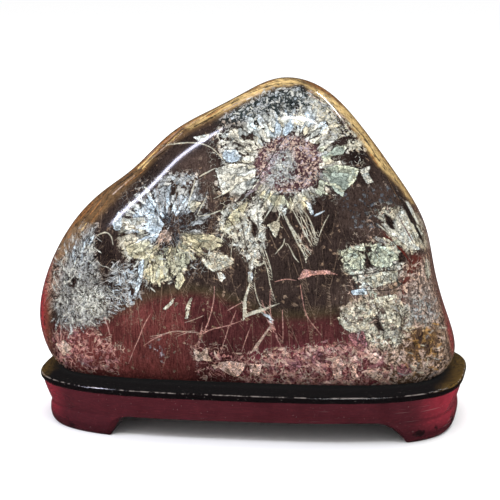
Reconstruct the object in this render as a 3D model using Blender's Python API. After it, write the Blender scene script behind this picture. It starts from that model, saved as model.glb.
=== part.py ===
# A polished viewing stone resting in the seat of its carved and lacquered wooden stand.
#
# Lengths are in metres, except where a name ends in _MM. X runs along the stand, the front faces -Y,
# and the origin is on the surface that the stand rests on, under the middle of the whole.

import bmesh
import bpy
import numpy as np

MM = 0.001

# The stone's widest section, seen from the front, anticlockwise from its lower right corner.
STONE_OUTLINE_MM = [
    (155, 52), (148, 80), (139, 112), (131, 148), (110, 183), (86, 216), (58, 245), (26, 254),
    (-1, 244), (-28, 230), (-58, 213), (-85, 188), (-112, 168), (-136, 143), (-154, 109), (-161, 74),
    (-153, 47), (-134, 32), (-97, 28), (-47, 28), (3, 28), (53, 28), (103, 28), (139, 33),
]
STONE_HEART_MM = (-7, 122)      # where the sections shrink to, at the front and at the back
STONE_HALF_DEPTH = 0.063        # from the widest section to the front, at the foot
STONE_BOTTOM = 0.028
STONE_HEIGHT = 0.228
STONE_THINNING = 0.30           # share of its depth that the stone loses towards its top
STONE_LEAN = 0.06               # how far it leans back, for each metre up
STONE_LEAN_PIVOT = 0.04
FACE_SQUARENESS = 3.2           # 2 is a round section, more is a flatter face with a tighter edge
BACK_SQUARENESS = 2.7
RIGHT_SQUARENESS = 0.4          # added on the right side
FOOT_SQUARENESS = 3.2           # added at the foot, which is nearly a block
FOOT_TURN_START = -0.35         # where the section turns from face to foot, by the outline's slope
FOOT_TURN_END = -0.85
# Broad swells and hollows of the faces: share of the depth, waves for each metre in x and z, phase.
STONE_SWELLS = [
    (0.030, 27.0, 22.0, 0.6),
    (0.018, 47.0, 41.0, 2.1),
    (0.010, 76.0, 69.0, 4.4),
]
INNER_SMOOTHING = 3             # how often the outline is smoothed for the middle of the faces
STONE_SEGMENTS = 92
STONE_RINGS = 34

# The stand: half its length and depth at the rim, and the exponent of its rounded plan.
STAND_CENTRE_X = 0.003
STAND_HALF_LENGTH = 0.160
STAND_HALF_DEPTH = 0.0876
STAND_PLAN_EXPONENT = 3.15
STAND_SEGMENTS = 96
# Its side from the sole up, as (height, how far inside the rim).
STAND_PROFILE_MM = [
    (0, 9.6), (1.2, 8.2), (4, 6.9), (8, 6.3), (12, 6.6), (15.6, 7.6), (17.4, 7.0), (22, 5.2),
    (28, 3.2), (33.4, 1.7), (34.6, 0.4), (36, 0), (37.4, 0.3), (38.4, 1.3),
]
SEAT_GAP = 0.0003               # between the stone's foot and the seat cut for it

# The arch between the two end feet, seen from the front, from the left foot over to the right one.
ARCH_MM = [
    (-92, -3), (-90, 3), (-87.5, 8), (-85.5, 12), (-81.5, 15), (-74, 16.2), (-40, 16.4), (0, 16.6),
    (50, 17), (92, 17.4), (104, 16.8), (112, 14.9), (118, 11.3), (122, 7), (125, 3), (128, -3),
]
ARCH_REACH = 0.12               # half the cutter's run from front to back
# The hollow under the ends, which leaves the feet as a wall along the plan.
HOLLOW_LEFT = -0.126
HOLLOW_RIGHT = 0.131
HOLLOW_HALF_DEPTH = 0.040
HOLLOW_HEIGHT = 0.013
HOLLOW_CORNER = 0.006


def clear_scene():
    for item in list(bpy.data.objects):
        bpy.data.objects.remove(item, do_unlink=True)


def new_collection(name):
    collection = bpy.data.collections.new(name)
    bpy.context.scene.collection.children.link(collection)
    return collection


def new_material(name, colour, roughness, coat):
    material = bpy.data.materials.new(name)
    material.use_nodes = True
    shader = material.node_tree.nodes["Principled BSDF"]
    shader.inputs["Base Color"].default_value = (*colour, 1.0)
    shader.inputs["Roughness"].default_value = roughness
    shader.inputs["Metallic"].default_value = 0.0
    shader.inputs["Coat Weight"].default_value = coat
    return material


def object_from(work, name, collection):
    mesh = bpy.data.meshes.new(name)
    work.to_mesh(mesh)
    work.free()
    made = bpy.data.objects.new(name, mesh)
    collection.objects.link(made)
    return made


def hide_cutter(cutter):
    cutter.hide_render = True
    cutter.display_type = "WIRE"


def ease(start, end, value):
    share = np.clip((value - start) / (end - start), 0.0, 1.0)
    return share * share * (3.0 - 2.0 * share)


def smoothed(knots):
    return (np.roll(knots, 1, 0) + 4 * knots + np.roll(knots, -1, 0)) / 6


def spline_through(knots, share):
    """Closed cubic curve through the knots, which are spread evenly over shares 0 to 1."""
    control = knots.copy()
    for _ in range(40):
        control += knots - smoothed(control)
    place = (share % 1.0) * len(knots)
    first = np.floor(place).astype(int)
    t = (place - first)[:, None]
    weights = ((1 - t) ** 3, 3 * t ** 3 - 6 * t ** 2 + 4, -3 * t ** 3 + 3 * t ** 2 + 3 * t + 1, t ** 3)
    return sum(w * control[(first - 1 + i) % len(knots)] for i, w in enumerate(weights)) / 6


def stone_points(sphere):
    """Moves the points of a unit sphere, with its poles to the front and back, onto the stone."""
    share = np.arctan2(sphere[:, 2], sphere[:, 0]) / (2 * np.pi)
    ring = np.hypot(sphere[:, 0], sphere[:, 2])
    depth = sphere[:, 1]
    heart = np.array(STONE_HEART_MM) * MM
    outline = np.array(STONE_OUTLINE_MM) * MM
    inner = outline
    for _ in range(INNER_SMOOTHING):
        inner = smoothed(inner)
    outer_share = ring[:, None] ** 4
    spoke = spline_through(outline, share) * outer_share + spline_through(inner, share) * (1 - outer_share)
    spoke -= heart
    slope = spoke / np.linalg.norm(spoke, axis=1)[:, None]
    extra = RIGHT_SQUARENESS * np.clip(slope[:, 0], 0, 1) ** 2
    extra += FOOT_SQUARENESS * ease(FOOT_TURN_START, FOOT_TURN_END, slope[:, 1])
    square = np.where(depth > 0, BACK_SQUARENESS, FACE_SQUARENESS) + extra * ring ** 2
    size = (ring ** square + np.abs(depth) ** square) ** (-1 / square)
    x = heart[0] + spoke[:, 0] * ring * size
    z = heart[1] + spoke[:, 1] * ring * size
    swell = np.zeros(len(x))
    for amount, in_x, in_z, phase in STONE_SWELLS:
        turn = phase + 2.0 * (depth > 0)
        swell += amount * np.sin(in_x * x + turn) * np.cos(in_z * z - turn)
    up = np.clip((z - STONE_BOTTOM) / STONE_HEIGHT, 0, 1)
    swell *= depth ** 2 * ease(0.0, 0.2, up)
    y = STONE_HALF_DEPTH * depth * size * (1 - STONE_THINNING * up ** 1.5) * (1 + swell)
    y += STONE_LEAN * (z - STONE_LEAN_PIVOT)
    return np.stack([x, y, z], axis=1)


def make_stone(name, collection):
    work = bmesh.new()
    bmesh.ops.create_uvsphere(work, u_segments=STONE_SEGMENTS, v_segments=STONE_RINGS, radius=1.0)
    sphere = np.array([(v.co.x, -v.co.z, v.co.y) for v in work.verts])
    for vertex, place in zip(work.verts, stone_points(sphere)):
        vertex.co = place
    return object_from(work, name, collection)


def make_seat_cutter(stone, collection):
    """The stone's own shape, grown by the gap that the seat leaves round it."""
    work = bmesh.new()
    work.from_mesh(stone.data)
    work.normal_update()
    for vertex, normal in [(v, v.normal.copy()) for v in work.verts]:
        vertex.co += normal * SEAT_GAP
    cutter = object_from(work, "seat_cutter", collection)
    hide_cutter(cutter)
    return cutter


def plan_point(x, y, inset):
    """Moves a point of the unit circle onto the stand's rounded plan, drawn in by the inset."""
    power = 2 / STAND_PLAN_EXPONENT
    along = (STAND_HALF_LENGTH - inset) * np.sign(x) * abs(x) ** power
    across = (STAND_HALF_DEPTH - inset) * np.sign(y) * abs(y) ** power
    return STAND_CENTRE_X + along, across


def make_stand_blank(name, collection):
    """A short cylinder, cut into rings, each moved to the plan at its own height and inset."""
    heights = [h * MM for h, inset in STAND_PROFILE_MM]
    insets = [inset * MM for h, inset in STAND_PROFILE_MM]
    work = bmesh.new()
    bmesh.ops.create_cone(work, cap_ends=True, segments=STAND_SEGMENTS, radius1=1.0, radius2=1.0,
                          depth=heights[-1])
    bmesh.ops.translate(work, verts=work.verts, vec=(0, 0, heights[-1] / 2))
    for height in heights[1:-1]:
        bmesh.ops.bisect_plane(work, geom=work.verts[:] + work.edges[:] + work.faces[:],
                               plane_co=(0, 0, height), plane_no=(0, 0, 1))
    for vertex in work.verts:
        inset = np.interp(vertex.co.z, heights, insets)
        vertex.co.x, vertex.co.y = plan_point(vertex.co.x, vertex.co.y, inset)
    return object_from(work, name, collection)


def make_arch_cutter(collection):
    """The opening between the end feet: its outline from the front, carried from front to back."""
    work = bmesh.new()
    outline = [work.verts.new((x * MM, -ARCH_REACH, z * MM)) for x, z in ARCH_MM]
    face = work.faces.new(outline)
    run = bmesh.ops.extrude_face_region(work, geom=[face])
    moved = [item for item in run["geom"] if isinstance(item, bmesh.types.BMVert)]
    bmesh.ops.translate(work, verts=moved, vec=(0, 2 * ARCH_REACH, 0))
    bmesh.ops.recalc_face_normals(work, faces=work.faces)
    cutter = object_from(work, "arch_cutter", collection)
    hide_cutter(cutter)
    return cutter


def make_hollow_cutter(collection):
    """A block with rounded upright edges, half of it below the sole."""
    work = bmesh.new()
    bmesh.ops.create_cube(work, size=2.0)
    half_length = (HOLLOW_RIGHT - HOLLOW_LEFT) / 2
    bmesh.ops.scale(work, verts=work.verts, vec=(half_length, HOLLOW_HALF_DEPTH, HOLLOW_HEIGHT))
    bmesh.ops.translate(work, verts=work.verts, vec=(HOLLOW_LEFT + half_length, 0, 0))
    upright = [e for e in work.edges if abs(e.verts[0].co.z - e.verts[1].co.z) > HOLLOW_HEIGHT]
    bmesh.ops.bevel(work, geom=upright, offset=HOLLOW_CORNER, segments=5, profile=0.5, affect="EDGES")
    cutter = object_from(work, "hollow_cutter", collection)
    hide_cutter(cutter)
    return cutter


def cut(target, cutter):
    boolean = target.modifiers.new(cutter.name, "BOOLEAN")
    boolean.operation = "DIFFERENCE"
    boolean.solver = "EXACT"
    boolean.object = cutter


def finish_surface(made, material, sharp_angle):
    made.data.materials.append(material)
    made.data.shade_smooth()
    made.data.set_sharp_from_angle(angle=np.radians(sharp_angle))


def build():
    clear_scene()
    parts = new_collection("suiseki")
    cutters = new_collection("cutters")

    stone = make_stone("stone", parts)
    finish_surface(stone, new_material("polished_stone", (0.13, 0.09, 0.08), 0.12, 0.6), 180)

    stand = make_stand_blank("stand", parts)
    finish_surface(stand, new_material("lacquered_wood", (0.05, 0.014, 0.016), 0.18, 0.8), 32)
    cut(stand, make_seat_cutter(stone, cutters))
    cut(stand, make_arch_cutter(cutters))
    cut(stand, make_hollow_cutter(cutters))


build()
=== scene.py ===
import math

import bpy
import numpy as np
from mathutils import Matrix


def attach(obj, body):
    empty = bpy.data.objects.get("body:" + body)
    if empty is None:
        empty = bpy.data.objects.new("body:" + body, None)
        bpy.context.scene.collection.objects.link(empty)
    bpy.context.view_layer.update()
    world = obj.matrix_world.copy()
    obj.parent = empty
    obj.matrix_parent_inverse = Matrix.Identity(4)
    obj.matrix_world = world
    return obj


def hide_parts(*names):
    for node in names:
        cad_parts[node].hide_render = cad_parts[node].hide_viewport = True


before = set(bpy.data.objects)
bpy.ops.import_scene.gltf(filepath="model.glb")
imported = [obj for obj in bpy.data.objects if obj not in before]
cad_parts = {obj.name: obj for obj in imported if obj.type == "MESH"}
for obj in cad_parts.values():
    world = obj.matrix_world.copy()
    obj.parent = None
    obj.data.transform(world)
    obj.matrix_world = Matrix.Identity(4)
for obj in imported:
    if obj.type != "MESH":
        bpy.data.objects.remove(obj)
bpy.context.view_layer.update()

# Lengths are in metres. The stone's markings are placed in the picture's own pixels, 500 by 500, and are
# carried along the camera's sight lines to the surface, so they stay on the stone from every side.

camera = {
    "azimuth": 11.03,           # degrees round from the front
    "elevation": 11.75,
    "roll": -1.01,
    "distance": 1.379,
    "target": (0.002, 0.0, 0.126),
    "focalPixels": 1841.0,
    "pictureSize": 500,
    "sensor": 36.0,             # millimetres
}


def srgb(red, green, blue):
    # Picture values 0 to 255 as linear light: ((c + 0.055) / 1.055) ^ 2.4, or c / 12.92 near black.
    values = np.array([red, green, blue]) / 255
    return np.where(values > 0.04045, ((values + 0.055) / 1.055) ** 2.4, values / 12.92)


def ease(start, end, value):
    # 0 before start, 1 after end, and 3 t^2 - 2 t^3 between them.
    share = np.clip((value - start) / (end - start), 0.0, 1.0)
    return share * share * (3.0 - 2.0 * share)


class Wire:
    # One socket in a node tree. An operator on it adds a Math node, and numbers alone stay numbers.
    def __init__(self, tree, socket=None):
        self.tree = tree
        self.socket = socket

    # Any node: its type, its settings, which are set first, the values or links of its sockets, its output.
    def node(self, kind, settings=None, inputs=None, output=0):
        made = self.tree.nodes.new(kind)
        for name, value in (settings or {}).items():
            if name == "stops":
                ramp = made.color_ramp
                while len(ramp.elements) < len(value):
                    ramp.elements.new(0.5)
                for element, (place, colour) in zip(ramp.elements, value):
                    element.position = place
                    element.color = (*colour, 1.0)
            else:
                setattr(made, name, value)
        for name, value in (inputs or {}).items():
            if isinstance(value, Wire):
                self.tree.links.new(value.socket, made.inputs[name])
            elif hasattr(value, "__len__") and made.inputs[name].type == "RGBA":
                made.inputs[name].default_value = (*value[:3], 1.0)
            else:
                made.inputs[name].default_value = value
        return Wire(self.tree, made.outputs[output])

    def math(self, operation, first, second=0.0):
        return self.node("ShaderNodeMath", {"operation": operation}, {0: first, 1: second})

    def __add__(self, other):
        return self.math("ADD", self, other)

    def __radd__(self, other):
        return self.math("ADD", other, self)

    def __sub__(self, other):
        return self.math("SUBTRACT", self, other)

    def __rsub__(self, other):
        return self.math("SUBTRACT", other, self)

    def __mul__(self, other):
        return self.math("MULTIPLY", self, other)

    def __rmul__(self, other):
        return self.math("MULTIPLY", other, self)

    def __abs__(self):
        return self.math("ABSOLUTE", self)

    # 0 where this is at start, 1 where it is at end, and smooth between them.
    def ramp(self, start, end, low=0.0, high=1.0):
        flip = start > end
        if flip:
            start, end, low, high = end, start, high, low
        sockets = {"Value": self, "From Min": start, "From Max": end, "To Min": low, "To Max": high}
        return self.node("ShaderNodeMapRange", {"interpolation_type": "SMOOTHSTEP"}, sockets)

    # From one colour to another by a factor; blend is any of Blender's mixing modes.
    def mix(self, factor, first, second, blend="MIX"):
        settings = {"data_type": "RGBA", "blend_type": blend}
        return self.node("ShaderNodeMix", settings, {0: factor, 6: first, 7: second}, 2)

    # A colour multiplied by another, by this factor.
    def dimmed(self, tone, factor=1.0):
        return self.mix(factor, self, tone, "MULTIPLY")

    # A colour that runs through these stops of a value, each a grey or three numbers.
    def graded(self, stops):
        stops = [(at, (tone,) * 3 if isinstance(tone, float) else tone) for at, tone in stops]
        return self.node("ShaderNodeValToRGB", {"stops": stops}, {0: self})

    # Noise from 0 to 1 at so many waves for each metre.
    def noise(self, scale, detail=3.0, rough=0.5):
        sockets = {"Vector": self, "Scale": scale, "Detail": detail, "Roughness": rough}
        return self.node("ShaderNodeTexNoise", {}, sockets)

    # A noise moved to swing about nothing, and made so wide.
    def swing(self, width):
        return (self - 0.5) * width

    def stretched(self, x, y, z):
        sockets = {0: self, 1: (x, y, z)}
        return self.node("ShaderNodeVectorMath", {"operation": "MULTIPLY"}, sockets)

    # This position moved by noise, up to half the reach each way.
    def bent(self, scale, reach, detail):
        sockets = {"Vector": self, "Scale": scale, "Detail": detail}
        push = self.node("ShaderNodeTexNoise", {}, sockets, "Color")
        sockets = {0: push, 1: (reach, reach, reach), 2: self}
        return self.node("ShaderNodeVectorMath", {"operation": "MULTIPLY_ADD"}, sockets)

    # Cells round scattered points: three random numbers for each cell, and the distance to its edge.
    def cells(self, scale):
        sockets = {"Vector": self, "Scale": scale}
        lots = self.node("ShaderNodeTexVoronoi", {"feature": "F1"}, sockets, "Color")
        return lots, self.node("ShaderNodeTexVoronoi", {"feature": "DISTANCE_TO_EDGE"}, sockets, "Distance")

    def parts(self):
        return [self.node("ShaderNodeSeparateColor", {}, {0: self}, part) for part in range(3)]

    def attribute(self, name, output="Color"):
        return self.node("ShaderNodeAttribute", {"attribute_name": name}, {}, output)


def newMaterial(name, **constants):
    material = bpy.data.materials.new(name)
    material.use_nodes = True
    shader = material.node_tree.nodes["Principled BSDF"]
    for socket, value in constants.items():
        shader.inputs[socket].default_value = value
    return material, shader, Wire(material.node_tree)


def feed(wire, shader, socket):
    wire.tree.links.new(wire.socket, shader.inputs[socket])


def meshPiece(name, points, faces):
    mesh = bpy.data.meshes.new(name)
    mesh.from_pydata(points.tolist(), [], faces)
    mesh.shade_smooth()
    piece = bpy.data.objects.new(name, mesh)
    bpy.context.scene.collection.objects.link(piece)
    return piece


def quads(grid):
    # The four corners of each cell of a grid of vertex numbers, anticlockwise for columns right, rows up.
    return np.stack([grid[:-1, :-1], grid[:-1, 1:], grid[1:, 1:], grid[1:, :-1]], -1).reshape(-1, 4)


# The camera.

def sheetAxes(azimuth, rise):
    # Back points out at this azimuth and rise, in degrees; right is level, and up closes the frame.
    turn = math.radians(azimuth)
    rise = math.radians(rise)
    back = np.array([math.sin(turn) * math.cos(rise), -math.cos(turn) * math.cos(rise), math.sin(rise)])
    right = np.array([math.cos(turn), math.sin(turn), 0.0])
    return right, np.cross(back, right), back


def cameraAxes():
    # The camera looks back along its sheet's axis, and its roll turns the other two.
    right, up, back = sheetAxes(camera["azimuth"], camera["elevation"])
    roll = math.radians(camera["roll"])
    cos, sin = math.cos(roll), math.sin(roll)
    right, up = cos * right + sin * up, cos * up - sin * right
    return np.array(camera["target"]) + camera["distance"] * back, right, up, back


def pictureSpots(points):
    # Where points fall in the picture: focal length times offset over depth, from the middle, down as y.
    eye, right, up, back = cameraAxes()
    offset = points - eye
    scale = camera["focalPixels"] / -(offset @ back)
    middle = camera["pictureSize"] / 2
    return np.stack([middle + offset @ right * scale, middle - offset @ up * scale], 1)


def axesMatrix(right, up, back, place):
    matrix = np.eye(4)
    matrix[:3] = np.stack([right, up, back, place], 1)
    return Matrix(matrix.tolist())


def makeCamera():
    eye, right, up, back = cameraAxes()
    data = bpy.data.cameras.new("camera")
    data.sensor_width = camera["sensor"]
    data.lens = camera["focalPixels"] / camera["pictureSize"] * camera["sensor"]
    holder = bpy.data.objects.new("camera", data)
    holder.matrix_world = axesMatrix(right, up, back, eye)
    bpy.context.scene.collection.objects.link(holder)
    bpy.context.scene.camera = holder
    print("camera placed")


makeCamera()


# The stone's form.

stoneShape = {
    # The widest section from the front, in millimetres, anticlockwise from its lower right corner.
    "outline": [(155, 52), (148, 80), (139, 112), (131, 148), (110, 183), (86, 216), (58, 245), (26, 254),
                (-1, 244), (-28, 230), (-58, 213), (-85, 188), (-112, 168), (-136, 143), (-154, 109),
                (-161, 74), (-153, 47), (-134, 32), (-97, 28), (-47, 28), (3, 28), (53, 28), (103, 28),
                (139, 33)],
    "heart": (-0.007, 0.122),   # where the sections shrink to, at the front and at the back
    "halfDepth": 0.063,
    "bottom": 0.028,
    "height": 0.228,
    "thinning": 0.30,           # share of its depth lost towards the top
    "thinningPower": 1.5,       # how late on the way up that comes
    "lean": 0.06,               # how far it leans back, for each metre up
    "leanPivot": 0.04,
    "faceSquareness": 3.2,
    "backSquareness": 2.7,
    "rightSquareness": 0.4,
    "footSquareness": 3.2,
    "footTurn": (-0.35, -0.85),
    # Swells of the faces: share of the depth, waves for each metre in x and z, phase.
    "swells": [(0.030, 27.0, 22.0, 0.6), (0.018, 47.0, 41.0, 2.1), (0.010, 76.0, 69.0, 4.4)],
    "backPhase": 2.0,           # added to the phase at the back
    "swellStart": (0.0, 0.2),   # shares of the height between which the swells begin
    "outlinePower": 4,          # how near the rim a section takes on the outline's own form
    "innerSmoothing": 3,
    "splineRounds": 40,         # after which the curve passes through its knots
    "tiltSamples": 400,
    "frontCells": 272,          # along each side of the front's square grid; the back has half as many
    "sideShare": 0.45,          # how finely the sides are divided, against the faces
}


def smoothed(knots):
    return (np.roll(knots, 1, 0) + 4 * knots + np.roll(knots, -1, 0)) / 6


def splineThrough(knots, share):
    # Closed cubic B-spline whose control points are moved until it passes through the evenly spread knots.
    control = knots.copy()
    for _ in range(stoneShape["splineRounds"]):
        control += knots - smoothed(control)
    place = (share % 1.0) * len(knots)
    first = np.floor(place).astype(int)
    t = (place - first)[:, None]
    weights = ((1 - t) ** 3, 3 * t ** 3 - 6 * t ** 2 + 4, -3 * t ** 3 + 3 * t ** 2 + 3 * t + 1, t ** 3)
    return sum(w * control[(first - 1 + i) % len(knots)] for i, w in enumerate(weights)) / 6


def stonePoints(turn, tilt, behind):
    # A point of the stone by its turn round the heart and its tilt from the face's pole to the rim.
    # Ring sin(tilt) and depth cos(tilt) are scaled by (ring^n + depth^n)^(-1/n); the ring runs along the
    # spoke to the outline, and the depth is thinned upwards, swelled by waves and leant back.
    shape = stoneShape
    ring, depth = np.sin(tilt), np.cos(tilt)
    heart = np.array(shape["heart"])
    outline = np.array(shape["outline"]) / 1000
    inner = outline
    for _ in range(shape["innerSmoothing"]):
        inner = smoothed(inner)
    share = turn / (2 * np.pi)
    outer = ring[:, None] ** shape["outlinePower"]
    spoke = splineThrough(outline, share) * outer + splineThrough(inner, share) * (1 - outer) - heart
    slope = spoke / np.linalg.norm(spoke, axis=1)[:, None]
    extra = shape["rightSquareness"] * np.clip(slope[:, 0], 0, 1) ** 2
    extra += shape["footSquareness"] * ease(*shape["footTurn"], slope[:, 1])
    square = np.where(behind, shape["backSquareness"], shape["faceSquareness"]) + extra * ring ** 2
    size = (ring ** square + depth ** square) ** (-1 / square)
    x = heart[0] + spoke[:, 0] * ring * size
    z = heart[1] + spoke[:, 1] * ring * size
    swell = np.zeros(len(x))
    for amount, inX, inZ, phase in shape["swells"]:
        phase = phase + shape["backPhase"] * behind
        swell += amount * np.sin(inX * x + phase) * np.cos(inZ * z - phase)
    up = np.clip((z - shape["bottom"]) / shape["height"], 0, 1)
    swell *= depth ** 2 * ease(*shape["swellStart"], up)
    thinned = 1 - shape["thinning"] * up ** shape["thinningPower"]
    out = shape["halfDepth"] * depth * size * thinned * (1 + swell)
    y = np.where(behind, out, -out) + shape["lean"] * (z - shape["leanPivot"])
    return np.stack([x, y, z], axis=1)


def evenTilt(radius):
    # The tilt whose run along the section, from the pole, is this share of the whole run to the rim.
    square = stoneShape["faceSquareness"]
    tilt = np.linspace(0, np.pi / 2, stoneShape["tiltSamples"])
    size = (np.sin(tilt) ** square + np.cos(tilt) ** square) ** (-1 / square)
    along = np.diff(np.sin(tilt) * size)
    down = np.diff(np.cos(tilt) * size) * stoneShape["sideShare"]
    run = np.concatenate([[0], np.cumsum(np.hypot(along, down))])
    return np.interp(radius, run / run[-1], tilt)


def stoneFace(cells, behind):
    # A square grid bent to a disc: x = u sqrt(1 - v^2 / 2), z = v sqrt(1 - u^2 / 2), turned an eighth back.
    line = np.linspace(-1, 1, cells + 1)
    u, v = (part.ravel() for part in np.meshgrid(line, line))
    x, z = u * np.sqrt(1 - v * v / 2), v * np.sqrt(1 - u * u / 2)
    turn = np.arctan2(z, x) - np.pi / 4
    return stonePoints(turn, evenTilt(np.clip(np.hypot(x, z), 0, 1)), np.full(len(x), behind))


def rimCells(coarse, fine):
    # The back's outermost cells, which take in the front's vertex halfway along each of their outer sides.
    faces = []
    for quarter in range(4):
        c, f = np.rot90(coarse, quarter), np.rot90(fine, quarter)
        sides = np.stack([c[0, 1:-2], f[0, 3:-3:2], c[0, 2:-1], c[1, 2:-1], c[1, 1:-2]], 1)
        faces += sides.tolist()
        faces.append([c[0, 0], f[0, 1], c[0, 1], c[1, 1], c[1, 0], f[1, 0]])
    return faces


def stoneSurface():
    cells = stoneShape["frontCells"]
    front = stoneFace(cells, False)
    fine = np.arange(len(front)).reshape(cells + 1, cells + 1)
    half = cells // 2
    back = stoneFace(half, True).reshape(half + 1, half + 1, 3)
    coarse = fine[::2, ::2].copy()
    coarse[1:-1, 1:-1] = len(front) + np.arange((half - 1) ** 2).reshape(half - 1, half - 1)
    points = np.concatenate([front, back[1:-1, 1:-1].reshape(-1, 3)])
    rim = [[int(number) for number in face[::-1]] for face in rimCells(coarse, fine)]
    faces = quads(fine).tolist() + quads(coarse[1:-1, 1:-1])[:, ::-1].tolist() + rim
    return points, faces


# The stand's form.

standShape = {
    "centreX": 0.003,
    "halfLength": 0.160,
    "halfDepth": 0.0876,
    "planExponent": 3.15,
    # The side from the sole up, as height and how far inside the rim, in millimetres.
    "profile": [(0, 9.6), (1.2, 8.2), (4, 6.9), (8, 6.3), (12, 6.6), (15.6, 7.6), (17.4, 7.0), (22, 5.2),
                (28, 3.2), (33.4, 1.7), (34.6, 0.4), (36, 0), (37.4, 0.3), (38.4, 1.3)],
    # The arch between the end feet, from the left foot over to the right one.
    "arch": [(-92, -3), (-90, 3), (-87.5, 8), (-85.5, 12), (-81.5, 15), (-74, 16.2), (-40, 16.4), (0, 16.6),
             (50, 17), (92, 17.4), (104, 16.8), (112, 14.9), (118, 11.3), (122, 7), (125, 3), (128, -3)],
    "archKnots": 5,             # how many of its points are on each flank
    "squeeze": 19.0,            # rows below this height, in millimetres, bunch up over the arch
    "flankHeights": (0.4, 3, 6, 9, 12, 14, 15.4),
    "flankLean": 0.2,           # how far the hollow's wall leans in, for each metre up
    "rowGap": 0.0004,           # rows of a flank are at least this far apart
    "soleEdge": 0.0006,
    "hollow": (-0.126, 0.131, 0.040),   # left, right and half depth
    "hollowExponent": 12.0,
    "ceiling": 0.0154,          # over the ends; between them it is the arch
    "archSpan": 0.075,
    "ceilingRows": (0.9, 0.7, 0.45, 0.2),
    "sideRows": ((0, 0.0326, 0.0008), (0.0326, 0.0384, 0.0003)),    # from, to and step
    "sideSmoothing": 2,
    "rimEdge": 0.0005,
    "seatEdge": 0.0006,
    "seatGap": 0.0003,
    "seatHeights": (0.0378, 0.036, 0.034, 0.032, 0.030, 0.0287),
    "seatFloor": 0.0276,
    "floorRows": (0.985, 0.8, 0.5, 0.2),
    "turns": 560,
    # More turns where the arch rises out of each foot: between which x, how many, and the depth there.
    "steep": ((-0.0945, -0.0775), (0.106, 0.1295)),
    "steepTurns": 28,
    "steepDepth": 0.0775,
    "leastTurn": 0.0012,        # turns closer than this to the last one are left out
}


def standTurns():
    # Even turns, with more of them where the arch rises steeply out of each foot.
    shape = standShape
    even = np.linspace(-np.pi, np.pi, shape["turns"], endpoint=False)
    steep = []
    for side in (-1, 1):
        for low, high in shape["steep"]:
            x = np.linspace(low, high, shape["steepTurns"])
            steep.append(side * np.arctan2(shape["steepDepth"], x - shape["centreX"]))
    turns = np.sort(np.concatenate([even, *steep]))
    return turns[np.concatenate([[True], np.diff(turns) > shape["leastTurn"]])]


def standReach(turns, inset):
    # Distance from the middle to the plan |x / a|^n + |y / b|^n = 1, with a and b drawn in by the inset.
    n = standShape["planExponent"]
    across = np.abs(np.cos(turns) / (standShape["halfLength"] - inset)) ** n
    deep = np.abs(np.sin(turns) / (standShape["halfDepth"] - inset)) ** n
    return (across + deep) ** (-1 / n)


def archHeight(x):
    # The arch's height over a place along the stand, and nothing under the feet.
    spots = np.array(standShape["arch"]) / 1000
    return np.clip(np.interp(x, spots[:, 0], spots[:, 1]), 0, None)


def hollowReach(turns):
    # Distance from the middle to the side of the rounded block that is carved out below.
    left, right, deep = standShape["hollow"]
    middle = standShape["centreX"]
    x = np.where(np.cos(turns) > 0, right - middle, middle - left)
    n = standShape["hollowExponent"]
    return (np.abs(np.cos(turns) / x) ** n + np.abs(np.sin(turns) / deep) ** n) ** (-1 / n)


def sectionReach(points, faces, height, turns):
    # The stone's section at a height, as its distance from the stand's middle at each turn.
    grid = np.array([face[:4] for face in faces])
    starts, ends = grid.ravel(), np.roll(grid, -1, 1).ravel()
    low, high = points[starts], points[ends]
    crossing = (low[:, 2] - height) * (high[:, 2] - height) < 0
    low, high = low[crossing], high[crossing]
    share = ((height - low[:, 2]) / (high[:, 2] - low[:, 2]))[:, None]
    cut = low + (high - low) * share
    x = cut[:, 0] - standShape["centreX"]
    around, reach = np.arctan2(cut[:, 1], x), np.hypot(x, cut[:, 1])
    order = np.argsort(around)
    return np.interp(turns, around[order], reach[order], period=2 * np.pi)


def roundedProfile():
    # The side's heights and insets, read in small steps and averaged a little, which rounds its edges.
    shape = standShape
    spots = np.array(shape["profile"]) / 1000
    heights = np.concatenate([*(np.arange(*rows) for rows in shape["sideRows"]), spots[-1:, 0]])
    insets = np.interp(heights, spots[:, 0], spots[:, 1])
    for _ in range(shape["sideSmoothing"]):
        insets[1:-1] = (insets[:-2] + 2 * insets[1:-1] + insets[2:]) / 4
    return heights, insets


def undersideRings(turns, outer, edge):
    # From the middle out: the ceiling, then the feet's flanks, each row further in than the one below it.
    shape = standShape
    middle = shape["centreX"]
    across = np.cos(turns)
    spots = np.array(shape["arch"]) / 1000
    rising, falling = spots[:shape["archKnots"]], spots[-shape["archKnots"]:][::-1]
    flank = []
    reach = outer - shape["soleEdge"]
    for level in np.array(shape["flankHeights"]) / 1000:
        left = np.interp(level, rising[:, 1], rising[:, 0]) - middle
        right = np.interp(level, falling[:, 1], falling[:, 0]) - middle
        wall = np.abs(np.where(across < 0, left, right)) / np.maximum(np.abs(across), 1e-3)
        hollow = hollowReach(turns) - level * shape["flankLean"]
        inwards = np.where(outer > wall, np.maximum(wall, hollow), outer)
        reach = np.minimum(reach - shape["rowGap"], inwards)
        flank.append((reach, np.maximum(np.minimum(level, shape["ceiling"]), edge)))
    ceiling = []
    for share in shape["ceilingRows"]:
        x = middle + reach * share * across
        z = np.where(np.abs(x) < shape["archSpan"], archHeight(x), shape["ceiling"])
        ceiling.append((reach * share, z))
    return ceiling[::-1] + flank[::-1]


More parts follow.
